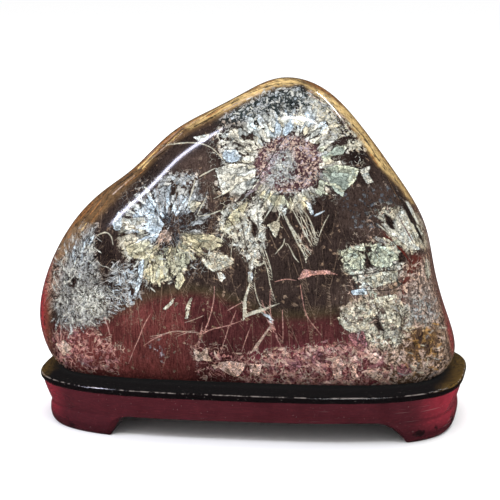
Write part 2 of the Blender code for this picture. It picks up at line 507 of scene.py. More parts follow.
def standSurface(stonePoint, stoneFaces):
    # Rings of points, each a reach and a height at every turn, from the middle below, out, up and in again.
    shape = standShape
    turns = standTurns()
    middle = shape["centreX"]
    heights, insets = roundedProfile()
    squeeze = shape["squeeze"] / 1000
    outer = standReach(turns, insets[0])
    edge = archHeight(middle + outer * np.cos(turns))
    rings = undersideRings(turns, outer, edge)
    for height in heights:
        z = np.where(height < squeeze, edge + (squeeze - edge) * height / squeeze, height)
        rings.append((standReach(turns, np.interp(z, heights, insets)), z))
    seat = [sectionReach(stonePoint, stoneFaces, height, turns) + shape["seatGap"]
            for height in (heights[-1], *shape["seatHeights"])]
    top = np.full(len(turns), heights[-1])
    rim, lip = rings[-1][0], seat[0] + shape["seatEdge"]
    rings += [(rim - shape["rimEdge"], top), (rim + (lip - rim) * 0.5, top), (lip, top)]
    for height, wall in zip(shape["seatHeights"], seat[1:]):
        rings.append((wall, np.full(len(turns), height)))
    floor = np.full(len(turns), shape["seatFloor"])
    rings += [(seat[-1] * share, floor) for share in shape["floorRows"]]
    reach, z = (np.array([ring[i] for ring in rings]) for i in (0, 1))
    points = np.stack([middle + reach * np.cos(turns), reach * np.sin(turns), z], -1)
    count = len(turns)
    grid = np.arange(points.shape[0] * count).reshape(-1, count)
    grid = np.concatenate([grid, grid[:, :1]], 1)
    below, above = points.shape[0] * count, points.shape[0] * count + 1
    ends = np.array([[middle, 0, points[0, :, 2].mean()], [middle, 0, shape["seatFloor"]]])
    caps = [[below, int(b), int(a)] for a, b in zip(grid[0], grid[0, 1:])]
    caps += [[above, int(a), int(b)] for a, b in zip(grid[-1], grid[-1, 1:])]
    return np.concatenate([points.reshape(-1, 3), ends]), quads(grid).tolist() + caps


# The stone's markings.

palette = {
    "bone": (226, 226, 214), "cream": (218, 213, 192), "straw": (216, 210, 178), "ice": (214, 228, 236),
    "mist": (190, 194, 194), "moss": (218, 226, 204), "lilac": (184, 166, 172), "rose": (206, 156, 144),
    "rust": (104, 46, 38), "tan": (168, 142, 120), "ochre": (186, 142, 84), "plum": (84, 58, 62),
    "maroon": (79, 41, 41), "wine": (104, 50, 56), "mauve": (160, 110, 114), "umber": (55, 44, 40),
    "soot": (34, 26, 24), "olive": (74, 62, 46), "slate": (96, 98, 102), "pine": (50, 58, 58),
    "peat": (74, 60, 54), "gold": (272, 232, 158), "amber": (194, 132, 78), "crimson": (190, 50, 62),
    "bronze": (150, 116, 78), "ash": (172, 172, 168), "sand": (214, 186, 168), "clay": (174, 118, 116),
    "dust": (112, 96, 88), "blush": (255, 216, 198), "honey": (186, 144, 90), "garnet": (132, 44, 50),
    "russet": (112, 58, 54), "earth": (96, 74, 58),
}


def oval(x, y, wide, high, corners=14):
    # Points at even turns on an ellipse.
    turn = np.linspace(0, 2 * np.pi, corners, endpoint=False)
    return np.stack([x + wide * np.cos(turn), y + high * np.sin(turn)], 1).ravel()


# Soft patches, each drawn over those before it: colour, strength, width of its soft edge, corners.
frontPatches = {
    # The stone between the markings.
    "ground": [
        ("pine", 1, 8, (215, 120, 240, 98, 262, 84, 300, 84, 330, 104, 318, 122, 285, 120, 250, 126)),
        ("peat", 1, 6, (180, 152, 206, 150, 220, 168, 216, 206, 186, 200, 178, 172)),
        ("plum", 1, 4, oval(289, 164, 36, 30)),
        ("peat", 1, 8, (340, 190, 392, 184, 410, 230, 376, 240, 340, 226)),
        ("peat", 1, 12, (330, 290, 400, 262, 440, 240, 450, 330, 452, 368, 380, 392, 336, 360)),
        ("dust", 1, 8, (352, 300, 380, 290, 404, 268, 432, 252, 444, 330, 430, 340, 400, 332, 376, 352,
                        348, 338)),
        ("earth", 1, 8, (400, 330, 440, 318, 452, 372, 420, 390, 384, 388, 376, 356)),
        ("soot", 0.7, 3, (92, 236, 108, 231, 113, 250, 118, 262, 112, 290, 100, 282, 90, 262, 87, 248)),
        ("soot", 0.8, 2, (53, 311, 61, 313, 60, 326, 52, 322)),
        ("soot", 0.8, 2, (91, 314, 102, 312, 104, 322, 95, 325)),
        ("soot", 0.7, 3, (350, 147, 362, 149, 367, 159, 358, 167, 349, 161)),
        ("soot", 0.7, 2, (374, 318, 381, 320, 384, 330, 376, 328)),
        ("soot", 0.6, 3, (366, 346, 384, 350, 392, 362, 376, 358)),
        ("rust", 0.6, 5, (384, 232, 402, 236, 404, 252, 388, 250)),
        ("rust", 0.8, 4, (412, 254, 424, 256, 418, 272, 408, 284, 402, 302, 392, 298, 402, 278)),
        ("olive", 1, 6, (96, 330, 108, 310, 153, 290, 191, 285, 217, 289, 242, 300, 274, 311, 303, 311,
                         338, 308, 338, 322, 240, 322, 191, 304, 150, 312)),
        # The lower zone's maroon, russet and wine are partly the stone's own colour and partly painted
        # reflection of a red surrounding.
        ("maroon", 1, 6, (30, 322, 100, 325, 112, 319, 153, 299, 191, 293, 217, 297, 242, 308, 274, 319,
                          303, 319, 337, 316, 352, 336, 372, 356, 384, 400, 30, 400)),
        ("russet", 0.8, 22, (84, 330, 140, 306, 176, 306, 186, 330, 190, 384, 60, 384)),
        ("wine", 1, 6, (250, 352, 290, 344, 352, 342, 384, 356, 392, 392, 240, 392)),
    ],
    # Speckle: strength is the share of the surface that the light grains cover.
    "grain": [
        ("mist", 0.36, 6, (218, 120, 240, 100, 262, 86, 300, 84, 330, 100, 322, 120, 285, 120, 250, 124)),
        ("bone", 0.62, 6, (214, 130, 240, 124, 262, 114, 300, 106, 330, 116, 350, 140, 344, 170, 326, 192,
                           300, 208, 262, 212, 240, 196, 214, 190, 222, 160)),
        ("cream", 0.56, 5, (306, 96, 326, 94, 350, 118, 376, 150, 352, 152, 330, 140)),
        ("ice", 0.74, 4, (262, 124, 284, 113, 312, 114, 318, 124, 292, 130, 272, 136)),
        ("lilac", 0.3, 3, oval(289, 164, 34, 29)),
        ("ash", 0.72, 4, (275, 152, 290, 148, 297, 164, 296, 180, 280, 186, 262, 190, 268, 174)),
        ("lilac", 0.8, 2.5, (284, 138, 292, 134, 262, 184, 248, 200, 246, 194, 264, 170)),
        ("bone", 0.73, 3, (226, 206, 240, 198, 260, 196, 264, 224, 266, 240, 262, 252, 256, 268, 250, 280,
                           247, 258, 238, 252, 236, 242, 229, 233, 216, 232, 220, 214)),
        ("cream", 0.66, 4, (262, 196, 308, 192, 304, 210, 262, 212)),
        ("mist", 0.6, 5, (140, 186, 168, 172, 196, 172, 208, 206, 202, 240, 150, 226)),
        ("ice", 0.84, 4, (130, 214, 146, 200, 158, 206, 164, 228, 154, 244, 138, 236)),
        ("cream", 0.8, 4, (118, 218, 146, 224, 152, 256, 128, 264, 118, 246)),
        ("straw", 0.82, 4, (128, 246, 150, 246, 190, 244, 200, 254, 188, 268, 172, 280, 150, 284,
                            136, 268)),
        ("slate", 0.5, 4, oval(174, 228, 18, 18)),
        ("sand", 0.8, 3, oval(163, 236, 9, 8)),
        ("straw", 0.72, 3, (182, 234, 214, 234, 226, 242, 212, 254, 190, 256, 180, 248)),
        ("cream", 0.75, 2, (201, 258, 212, 251, 230, 255, 236, 263, 216, 274, 204, 267)),
        ("ash", 0.66, 7, (56, 250, 78, 226, 96, 226, 92, 250, 104, 280, 124, 304, 112, 318, 96, 328,
                          60, 330, 46, 300)),
        ("mist", 0.7, 6, (66, 240, 82, 222, 96, 224, 92, 246, 96, 268, 84, 276, 72, 262)),
        ("sand", 0.5, 5, (46, 272, 58, 246, 68, 244, 62, 270, 56, 300, 46, 306)),
        ("bone", 0.74, 5, (74, 286, 100, 288, 112, 304, 96, 318, 76, 310)),
        ("mist", 0.5, 6, (112, 262, 142, 262, 140, 304, 112, 312, 104, 290)),
        ("slate", 0.34, 8, (330, 190, 394, 182, 412, 214, 384, 236, 344, 230)),
        ("cream", 0.84, 4, (376, 212, 386, 204, 404, 210, 420, 212, 430, 246, 412, 254, 396, 244)),
        ("moss", 0.8, 4, (338, 250, 358, 244, 398, 238, 402, 268, 398, 292, 366, 292, 344, 270)),
        ("bone", 0.72, 4, (354, 272, 402, 256, 408, 276, 402, 300, 362, 296)),
        ("tan", 0.6, 8, (356, 300, 404, 272, 436, 250, 448, 330, 452, 368, 380, 388, 348, 344)),
        ("sand", 0.58, 8, (404, 272, 428, 258, 440, 300, 436, 322, 410, 330, 396, 306)),
        ("cream", 0.78, 6, (338, 312, 356, 300, 384, 298, 406, 302, 424, 318, 424, 338, 398, 350,
                            372, 346, 352, 336)),
        ("ash", 0.6, 8, (406, 296, 428, 290, 436, 312, 426, 328, 410, 324)),
        ("sand", 0.6, 6, (386, 350, 440, 344, 448, 372, 400, 388, 380, 384)),
        ("ochre", 0.26, 6, (404, 338, 418, 326, 436, 334, 438, 354, 422, 366, 408, 356)),
        ("clay", 0.7, 5, (236, 366, 270, 352, 300, 348, 352, 340, 380, 352, 392, 386, 250, 388)),
        ("clay", 0.38, 6, (54, 334, 94, 330, 122, 352, 118, 372, 56, 372)),
        ("clay", 0.3, 8, (190, 344, 246, 352, 250, 384, 196, 380)),
        ("lilac", 0.26, 5, (143, 338, 165, 338, 165, 364, 143, 364)),
    ],
    # Fine pale lines that wind between the grains: strength is their width.
    "web": [
        ("bone", 0.2, 8, (206, 136, 240, 112, 262, 96, 310, 92, 346, 120, 366, 160, 344, 196, 300, 212,
                          250, 212, 214, 196)),
        ("cream", 0.4, 4, (220, 204, 262, 196, 266, 244, 256, 280, 244, 258, 216, 234)),
        ("mist", 0.18, 8, (116, 200, 150, 172, 200, 170, 216, 210, 226, 262, 176, 284, 122, 264)),
        ("sand", 0.26, 6, (376, 204, 430, 206, 446, 270, 452, 368, 384, 388, 342, 340, 344, 250)),
        ("ochre", 0.3, 8, (400, 336, 416, 322, 438, 330, 440, 356, 424, 372, 404, 360)),
        ("sand", 0.8, 5, (244, 364, 268, 350, 300, 348, 352, 338, 384, 350, 392, 386, 256, 390)),
        ("rose", 0.6, 6, (52, 332, 94, 328, 124, 350, 118, 374, 56, 374)),
        ("rose", 0.3, 8, (188, 340, 246, 350, 250, 384, 204, 380)),
    ],
    # Fine crumbs between the grains, light or dark: strength is the share that they cover.
    "speck": [
        ("mist", 0.16, 8, (218, 120, 240, 98, 262, 84, 300, 84, 332, 100, 348, 130, 336, 150, 322, 124,
                           285, 120, 250, 126)),
        ("sand", 0.34, 3, oval(289, 164, 33, 28)),
        ("mist", 0.2, 3, (270, 154, 288, 148, 297, 164, 296, 180, 280, 186, 262, 188, 266, 172)),
        ("umber", 0.08, 4, (222, 206, 240, 198, 262, 196, 266, 244, 256, 270, 248, 274, 236, 246,
                            216, 232)),
        ("soot", 0.14, 6, (52, 262, 70, 240, 96, 250, 112, 296, 96, 326, 60, 326, 48, 300)),
        ("pine", 0.09, 6, (340, 248, 398, 236, 402, 292, 344, 296)),
        ("umber", 0.12, 8, (350, 300, 404, 272, 436, 250, 448, 330, 450, 372, 380, 386, 346, 340)),
        ("maroon", 0.18, 6, (240, 362, 270, 350, 352, 340, 384, 352, 392, 386, 250, 388)),
    ],
    # Tints over everything: how strongly each covers what is below it. The bronze, gold and amber bands
    # along the top edges and the crimson bands at the sides are partly the stone's own colour and partly
    # painted reflection of warm and red surroundings.
    "glaze": [
        ("bronze", 0.62, 4, (50, 262, 58, 236, 72, 216, 100, 184, 143, 154, 178, 122, 236, 88, 275, 74,
                             306, 82, 273, 90, 250, 101, 215, 120, 190, 132, 166, 148, 147, 168, 122, 193,
                             95, 222, 78, 242, 62, 262)),
        ("gold", 0.85, 3, (178, 124, 210, 108, 236, 92, 275, 77, 300, 80, 300, 84, 273, 87, 250, 98,
                           215, 116, 190, 129)),
        ("amber", 0.8, 2, (58, 240, 71, 219, 99, 187, 143, 157, 178, 123, 236, 91, 275, 75, 275, 80,
                           238, 96, 182, 128, 146, 161, 103, 193, 75, 224, 62, 242)),
        ("gold", 0.8, 3, (300, 82, 330, 92, 352, 110, 376, 140, 400, 174, 420, 205, 412, 204, 400, 187,
                          377, 165, 361, 141, 348, 122, 332, 106, 314, 94)),
        ("amber", 0.7, 1.5, (300, 78, 332, 90, 354, 108, 378, 139, 402, 172, 424, 208, 420, 212, 398, 178,
                             374, 145, 350, 112, 330, 96)),
        ("crimson", 0.8, 8, (54, 246, 40, 280, 30, 330, 44, 380, 54, 374, 48, 350, 47, 330, 48, 300,
                             50, 270)),
        ("crimson", 0.7, 3, (426, 226, 440, 250, 452, 300, 460, 360, 452, 356, 445, 318, 434, 260)),
    ],
}

# Light shards with clear edges, by colour: the corners of each.
frontShards = {
    "bone": [
        (215, 169, 230, 164, 244, 164, 246, 172, 241, 181, 234, 188, 222, 195, 219, 181),
        (241, 172, 256, 170, 254, 182, 249, 190, 240, 188), (193, 137, 210, 134, 206, 141, 198, 141),
        (241, 156, 254, 156, 254, 161, 246, 162), (309, 140, 319, 137, 323, 140, 317, 144, 311, 143),
        (257, 128, 262, 124, 261, 132, 266, 138, 270, 137, 270, 142, 266, 142, 258, 134),
        (253, 137, 258, 137, 264, 146, 261, 149, 256, 144),
        (360, 170, 371, 165, 368, 173, 373, 182, 367, 184, 363, 177),
        (319, 164, 325, 162, 324, 168, 319, 169), (226, 134, 232, 130, 235, 136, 229, 138),
        (276, 164, 282, 164, 283, 170, 277, 171), (126, 219, 144, 217, 147, 223, 136, 227, 127, 227),
        (397, 214, 404, 210, 405, 222, 414, 240, 420, 249, 412, 250, 400, 240, 391, 231),
        (217, 273, 221, 272, 226, 277, 222, 280, 222, 284, 219, 279),
        (262, 131, 268, 128, 270, 136, 265, 137),
    ],
    "moss": [
        (325, 169, 336, 165, 348, 166, 359, 169, 355, 181, 344, 191, 343, 197, 335, 191, 329, 181),
        (324, 157, 337, 146, 347, 146, 343, 154, 332, 156, 327, 161, 323, 162),
        (319, 180, 324, 181, 324, 190, 321, 196, 315, 192, 319, 188),
        (342, 255, 356, 250, 365, 256, 363, 269, 351, 269),
        (370, 260, 379, 246, 393, 248, 397, 259, 390, 267, 375, 267),
    ],
    "cream": [
        (294, 196, 302, 193, 305, 201, 300, 205, 293, 203), (190, 199, 201, 203, 194, 212, 190, 211),
        (201, 259, 211, 252, 227, 256, 234, 263, 214, 272, 205, 266),
        (370, 301, 379, 297, 396, 294, 397, 298, 384, 302, 372, 304),
        (367, 277, 382, 271, 398, 271, 397, 281, 373, 288, 365, 281),
        (267, 225, 275, 221, 280, 222, 279, 230, 275, 239, 272, 232, 269, 227),
        (163, 309, 168, 304, 175, 297, 173, 303, 166, 310),
        (185, 319, 187, 308, 190, 299, 193, 297, 190, 307, 188, 318),
        (337, 317, 342, 318, 350, 325, 357, 327, 366, 318, 374, 308, 380, 310, 370, 322, 362, 330,
         356, 334, 348, 331, 340, 324),
        (355, 303, 362, 306, 372, 310, 368, 314, 358, 309),
        (385, 307, 399, 313, 404, 324, 396, 328, 388, 320), (386, 332, 398, 330, 404, 338, 394, 344),
        (426, 258, 430, 262, 431, 274, 427, 280, 425, 268),
    ],
    "straw": [
        (270, 196, 284, 195, 286, 203, 276, 207, 269, 203),
        (126, 247, 142, 240, 151, 254, 146, 259, 134, 258, 127, 254),
        (148, 255, 160, 255, 170, 276, 160, 279, 161, 289, 156, 281, 151, 284, 150, 270),
        (187, 236, 198, 235, 213, 235, 223, 240, 221, 246, 210, 251, 202, 246, 187, 242),
        (173, 256, 181, 251, 191, 256, 189, 264, 181, 266, 174, 263),
        (187, 247, 198, 244, 203, 252, 194, 252), (177, 275, 181, 271, 185, 280, 179, 290, 175, 287),
        (218, 231, 232, 212, 249, 200, 240, 222, 228, 233),
    ],
    "ice": [
        (225, 150, 236, 150, 241, 157, 236, 162, 227, 162, 222, 156),
        (285, 124, 294, 120, 293, 129, 286, 136, 282, 134),
        (147, 224, 156, 214, 164, 224, 160, 232, 156, 240, 154, 242, 151, 235, 146, 230),
        (112, 223, 119, 211, 123, 219, 120, 230, 115, 230), (306, 202, 310, 203, 314, 214, 311, 215),
        (248, 273, 251, 270, 253, 277, 251, 283),
        (139, 262, 144, 259, 142, 280, 136, 297, 134, 295, 138, 278),
        (351, 291, 365, 288, 368, 294, 353, 295),
    ],
    "rose": [
        (297, 280, 304, 269, 314, 271, 327, 270, 338, 275, 327, 274, 314, 275),
    ],
    "umber": [
        (68, 277, 72, 275, 76, 281, 74, 288, 69, 286), (52, 312, 56, 311, 57, 318, 53, 319),
        (384, 213, 390, 217, 398, 229, 405, 243, 396, 236, 387, 225),
        (366, 246, 371, 247, 370, 258, 374, 268, 368, 271, 364, 262),
        (398, 246, 404, 252, 404, 262, 398, 262), (371, 316, 378, 319, 384, 331, 378, 330),
        (252, 222, 258, 224, 256, 238, 252, 234), (238, 214, 243, 214, 243, 224, 239, 222),
        (404, 206, 410, 208, 418, 226, 424, 244, 416, 232, 408, 218),
    ],
    "mauve": [
        (348, 335, 358, 330, 363, 330, 368, 347, 363, 352, 352, 343),
        (312, 356, 322, 352, 328, 362, 318, 368), (286, 362, 296, 356, 302, 366, 292, 374),
        (396, 366, 408, 362, 412, 372, 400, 378),
    ],
    "blush": [
        (218, 363, 230, 361, 246, 364, 242, 372, 237, 377, 230, 375, 219, 368),
        (249, 364, 262, 364, 259, 376, 251, 375), (368, 354, 376, 352, 382, 358, 376, 364, 369, 362),
        (332, 360, 340, 356, 344, 364, 341, 374, 336, 382, 333, 374),
        (350, 366, 358, 362, 356, 372, 360, 380, 352, 378),
    ],
    "sand": [
        (193, 348, 201, 353, 207, 346, 208, 355, 213, 362, 203, 360, 196, 362),
        (211, 364, 218, 366, 215, 370), (365, 372, 376, 368, 384, 378, 396, 384, 384, 384, 372, 378),
        (423, 362, 430, 360, 431, 368, 427, 373, 423, 370), (436, 372, 444, 366, 446, 372, 440, 378),
        (55, 344, 64, 340, 72, 348, 64, 356),
    ],
}

veinShare = 0.62                # how much of their width the lines below keep

# Thin lines, by colour: half the width at the start and at the end, then the points.
frontVeins = {
    "cream": [
        (0.8, 0.7, 162, 146, 175, 143, 187, 143, 199, 142, 209, 146, 218, 153, 223, 160),
        (1.0, 0.8, 199, 177, 206, 172, 214, 169), (0.8, 0.6, 233, 188, 224, 194, 214, 199),
        (0.8, 0.6, 221, 210, 210, 214, 199, 216), (1.0, 0.8, 195, 179, 197, 184, 190, 196, 188, 210),
        (0.8, 0.6, 207, 195, 203, 203, 197, 215),
        (1.1, 1.1, 282, 211, 290, 227, 297, 242, 307, 257, 306, 263),
        (0.9, 0.8, 286, 216, 293, 230, 301, 241, 310, 255), (0.8, 1.0, 292, 209, 302, 227, 313, 246),
        (0.9, 1.0, 300, 207, 308, 215, 313, 228, 317, 238, 314, 247),
        (0.7, 0.8, 297, 208, 304, 220, 310, 234, 315, 243), (0.8, 0.5, 272, 206, 268, 214, 262, 222),
        (0.7, 0.5, 276, 204, 281, 212, 279, 222), (0.6, 0.4, 238, 229, 232, 240, 231, 256),
        (0.6, 0.4, 256, 240, 262, 252, 268, 270, 270, 286, 276, 302),
        (0.5, 0.3, 262, 244, 270, 262, 273, 280), (0.5, 0.3, 254, 282, 257, 300, 261, 308),
        (1.6, 3.4, 251, 279, 247, 295, 244, 309, 243, 319),
        (3.2, 0.9, 244, 318, 257, 311, 272, 307, 280, 303),
        (0.9, 0.8, 380, 211, 384, 207, 389, 214, 397, 221), (0.9, 0.8, 377, 224, 389, 233, 408, 251),
        (0.8, 0.7, 405, 212, 412, 226, 419, 246),
        (1.4, 1.0, 341, 312, 339, 320, 348, 330, 357, 332, 369, 325),
        (0.9, 0.5, 97, 236, 106, 231, 111, 230, 113, 245), (1.2, 0.8, 185, 310, 188, 304, 191, 298),
        (0.6, 0.5, 307, 254, 306, 262), (0.5, 0.3, 330, 214, 322, 226, 316, 246),
    ],
    "ice": [
        (1.4, 1.0, 314, 217, 319, 213, 325, 211), (2.0, 1.6, 263, 315, 271, 315, 273, 321, 270, 326),
        (0.8, 0.2, 84, 246, 81, 262, 80, 280),
    ],
    "sand": [
        (1.2, 2.6, 275, 319, 264, 336, 251, 354), (0.35, 0.35, 150, 337, 175, 331, 196, 331),
        (0.35, 0.35, 176, 337, 186, 331, 198, 332), (0.35, 0.3, 184, 323, 204, 315),
        (0.5, 0.4, 426, 256, 432, 276, 440, 300), (0.5, 0.4, 420, 262, 428, 284, 438, 310),
        (0.5, 0.4, 416, 270, 422, 290, 426, 308),
    ],
    "rose": [
        (0.5, 0.4, 274, 282, 287, 278, 297, 280), (0.6, 0.5, 215, 287, 214, 305, 206, 328, 197, 343),
        (0.5, 0.4, 227, 310, 242, 303), (0.5, 0.4, 262, 300, 266, 316, 280, 345),
        (0.4, 0.4, 270, 290, 269, 316, 284, 352), (0.5, 0.3, 300, 284, 306, 318, 322, 336),
        (0.6, 0.5, 200, 336, 207, 330, 218, 329, 230, 325, 241, 321),
        (0.7, 0.5, 199, 346, 200, 335, 203, 322), (0.5, 0.4, 209, 321, 204, 332),
        (0.7, 0.4, 151, 314, 143, 325, 136, 346, 129, 364), (0.5, 0.4, 143, 346, 156, 336, 174, 332),
        (0.5, 0.4, 236, 310, 226, 336, 219, 356), (0.4, 0.4, 250, 328, 244, 346, 239, 361),
        (0.4, 0.3, 283, 310, 283, 343), (0.6, 0.5, 110, 342, 103, 355),
        (0.6, 0.4, 60, 326, 62, 344, 60, 366), (0.6, 0.4, 104, 318, 110, 332, 111, 352),
    ],
    "rust": [
        (1.0, 0.3, 407, 276, 402, 286, 398, 297), (0.2, 0.8, 416, 258, 410, 266, 407, 275),
        (0.8, 1.4, 384, 234, 394, 242, 404, 254, 410, 262), (0.5, 0.8, 398, 214, 406, 230, 414, 244),
    ],
    "umber": [
        (1.2, 0.8, 236, 204, 243, 226, 246, 248, 249, 268), (0.9, 0.7, 257, 204, 258, 226, 256, 246),
        (1.0, 0.8, 224, 216, 234, 224, 240, 240), (1.2, 1.2, 366, 250, 368, 268, 364, 276),
        (1.0, 0.8, 344, 276, 366, 274, 398, 269), (0.8, 0.8, 364, 291, 382, 291, 398, 288),
        (0.8, 0.8, 374, 300, 380, 316, 378, 334), (1.0, 0.8, 396, 304, 404, 322, 396, 342),
        (0.8, 0.6, 290, 132, 276, 150, 262, 172, 247, 196), (0.7, 0.6, 186, 244, 198, 250, 206, 258),
        (0.7, 0.6, 150, 256, 154, 268, 152, 282), (0.7, 0.6, 164, 254, 170, 266, 168, 282),
    ],
}

# Flowers: grains and petals spread from a centre, in pixels and in degrees clockwise from the right. Each
# has its centre; from where to where grains follow the spokes, how many go round, how long they are, what
# share of the grains they are and how far they sway; then rings of petals: colour, count, first and last
# angle, nearest and farthest foot, length, width.
frontFlowers = [
    ((288, 165), (32, 62, 8, 15, 1.0, 1.5), [
        ("cream", 22, 0, 360, 32, 38, 10, 4), ("bone", 18, 170, 330, 38, 50, 13, 5),
        ("umber", 26, 0, 360, 35, 50, 10, 2.2),
        ("ice", 12, 225, 320, 38, 52, 11, 3.4), ("straw", 9, 60, 140, 31, 38, 10, 4.5),
        ("bone", 10, 40, 150, 34, 44, 12, 3.4), ("moss", 6, -40, 40, 34, 42, 10, 4)]),
    ((168, 232), (9, 48, 7, 13, 1.0, 1.5), [
        ("ice", 20, 165, 320, 14, 30, 14, 3.2), ("mist", 18, 150, 350, 24, 40, 12, 3.6),
        ("umber", 20, 0, 360, 20, 40, 11, 2.0),
        ("bone", 10, 180, 250, 30, 40, 12, 4), ("straw", 10, 30, 150, 16, 26, 15, 6),
        ("cream", 8, 120, 190, 20, 36, 12, 5)]),
    ((71, 280), (6, 60, 84, 15, 0.8, 2.6), [
        ("mist", 14, 20, 120, 38, 48, 12, 1.8), ("ice", 9, 256, 300, 12, 40, 18, 1.8)]),
    ((440, 276), None, [
        ("cream", 9, 212, 256, 34, 52, 26, 5), ("bone", 6, 218, 250, 44, 62, 22, 5),
        ("ash", 7, 176, 214, 44, 66, 14, 5)]),
]


def outlineGap(spots, corners):
    # Signed distance to a closed outline: the nearest side's, made negative inside by the crossing rule.
    ends = np.roll(corners, -1, 0)
    side = ends - corners
    reach = spots[:, None] - corners
    along = np.clip((reach * side).sum(2) / (side * side).sum(1), 0, 1)
    gap = np.linalg.norm(reach - along[..., None] * side, axis=2).min(1)
    straddles = (corners[:, 1] > spots[:, 1:]) != (ends[:, 1] > spots[:, 1:])
    rise = np.where(side[:, 1] == 0, 1e-9, side[:, 1])
    left = spots[:, :1] < corners[:, 0] + side[:, 0] * (spots[:, 1:] - corners[:, 1]) / rise
    return np.where((straddles & left).sum(1) % 2 == 1, -gap, gap)


def roundedLine(line):
    # Each corner is cut off a quarter of the way along its sides, twice over.
    for _ in range(2 if len(line) > 2 else 0):
        near = line[:-1] * 0.75 + line[1:] * 0.25
        far = line[:-1] * 0.25 + line[1:] * 0.75
        cut = np.stack([near, far], 1).reshape(-1, 2)
        line = np.concatenate([line[:1], cut[1:-1], line[-1:]])
    return line


crookedness = {"step": 9, "aside": 0.4}     # pixels between its points, and how far each is put aside


def crooked(random, line):
    # The line read again every few pixels and each new point put a little aside.
    line = roundedLine(np.array(line, float).reshape(-1, 2))
    run = np.concatenate([[0], np.cumsum(np.linalg.norm(np.diff(line, axis=0), axis=1))])
    places = np.linspace(0, run[-1], max(int(run[-1] / crookedness["step"]), 1) + 1)
    read = np.stack([np.interp(places, run, line[:, axis]) for axis in (0, 1)], 1)
    return roundedLine(read + random.normal(0, crookedness["aside"], read.shape))


def lineSpread(spots, line, widths, spacing):
    # Distance to the nearest of a line's straight pieces, negative on its left, and half the line's width
    # there. The widths are spread evenly along the line, and the width falls below nothing past the line's
    # ends and further from it than the mesh's spacing.
    side = line[1:] - line[:-1]
    length = np.linalg.norm(side, axis=1)
    run = np.concatenate([[0], np.cumsum(length)])
    reach = spots[:, None] - line[:-1]
    along = (reach * side).sum(2) / length ** 2
    held = np.clip(along, 0, 1)
    gaps = np.linalg.norm(reach - held[..., None] * side, axis=2)
    piece = gaps.argmin(1)
    chosen = np.arange(len(spots)), piece
    along, held, gap, reach = along[chosen], held[chosen], gaps[chosen], reach[chosen]
    side, length = side[piece], length[piece]
    across = (side[:, 0] * reach[:, 1] - side[:, 1] * reach[:, 0]) / length
    half = np.interp((run[piece] + held * length) / run[-1], np.linspace(0, 1, len(widths)), widths)
    before, after = (piece == 0) & (along < 0), (piece == len(run) - 2) & (along > 1)
    past = np.where(before | after, np.abs(along - held) * length, 0)
    spread = np.where(past > 0, across, np.sign(across) * gap)
    return spread, half - past - 2 * np.clip(gap - spacing, 0, None)


markReach = 5.0                 # how far from a mark, in pixels, its distance is kept
# The waves by which spokes sway: how they lean, radians for each pixel, and a second wave's share of the
# first one's height, how many times as many it has, and its phase.
swayWaves = {"lean": 0.6, "turn": 0.33, "share": 0.5, "times": 2.7, "phase": 1.0}
spokeFade = {"inner": (0.7, 1.1), "outer": (1.2, 0.85)}     # shares of the radii where spokes fade out
frontFree = (0.42, 0.0)         # where the other sheets fade out as the surface turns into the picture
facingFade = (0.02, 0.22)       # where marks fade out as the surface turns away from their sheet


petalForm = {
    "stray": 0.3,               # radians that a petal may lie off its spoke
    "lengths": (0.5, 1.25),     # shortest and longest, as shares of the usual length
    "widths": (0.5, 1.4),
    "uneven": (0.7, 1.3),       # by how much each corner but the last is put in or out
    # Its corners as shares of the length and of half the width, and which of them move lengthwise.
    "corners": ((0, -0.35), (0.6, -1), (1, -0.5), (0.8, 0), (0.95, 0.6), (0.5, 1), (0, 0.35)),
    "tips": (2, 3),
}


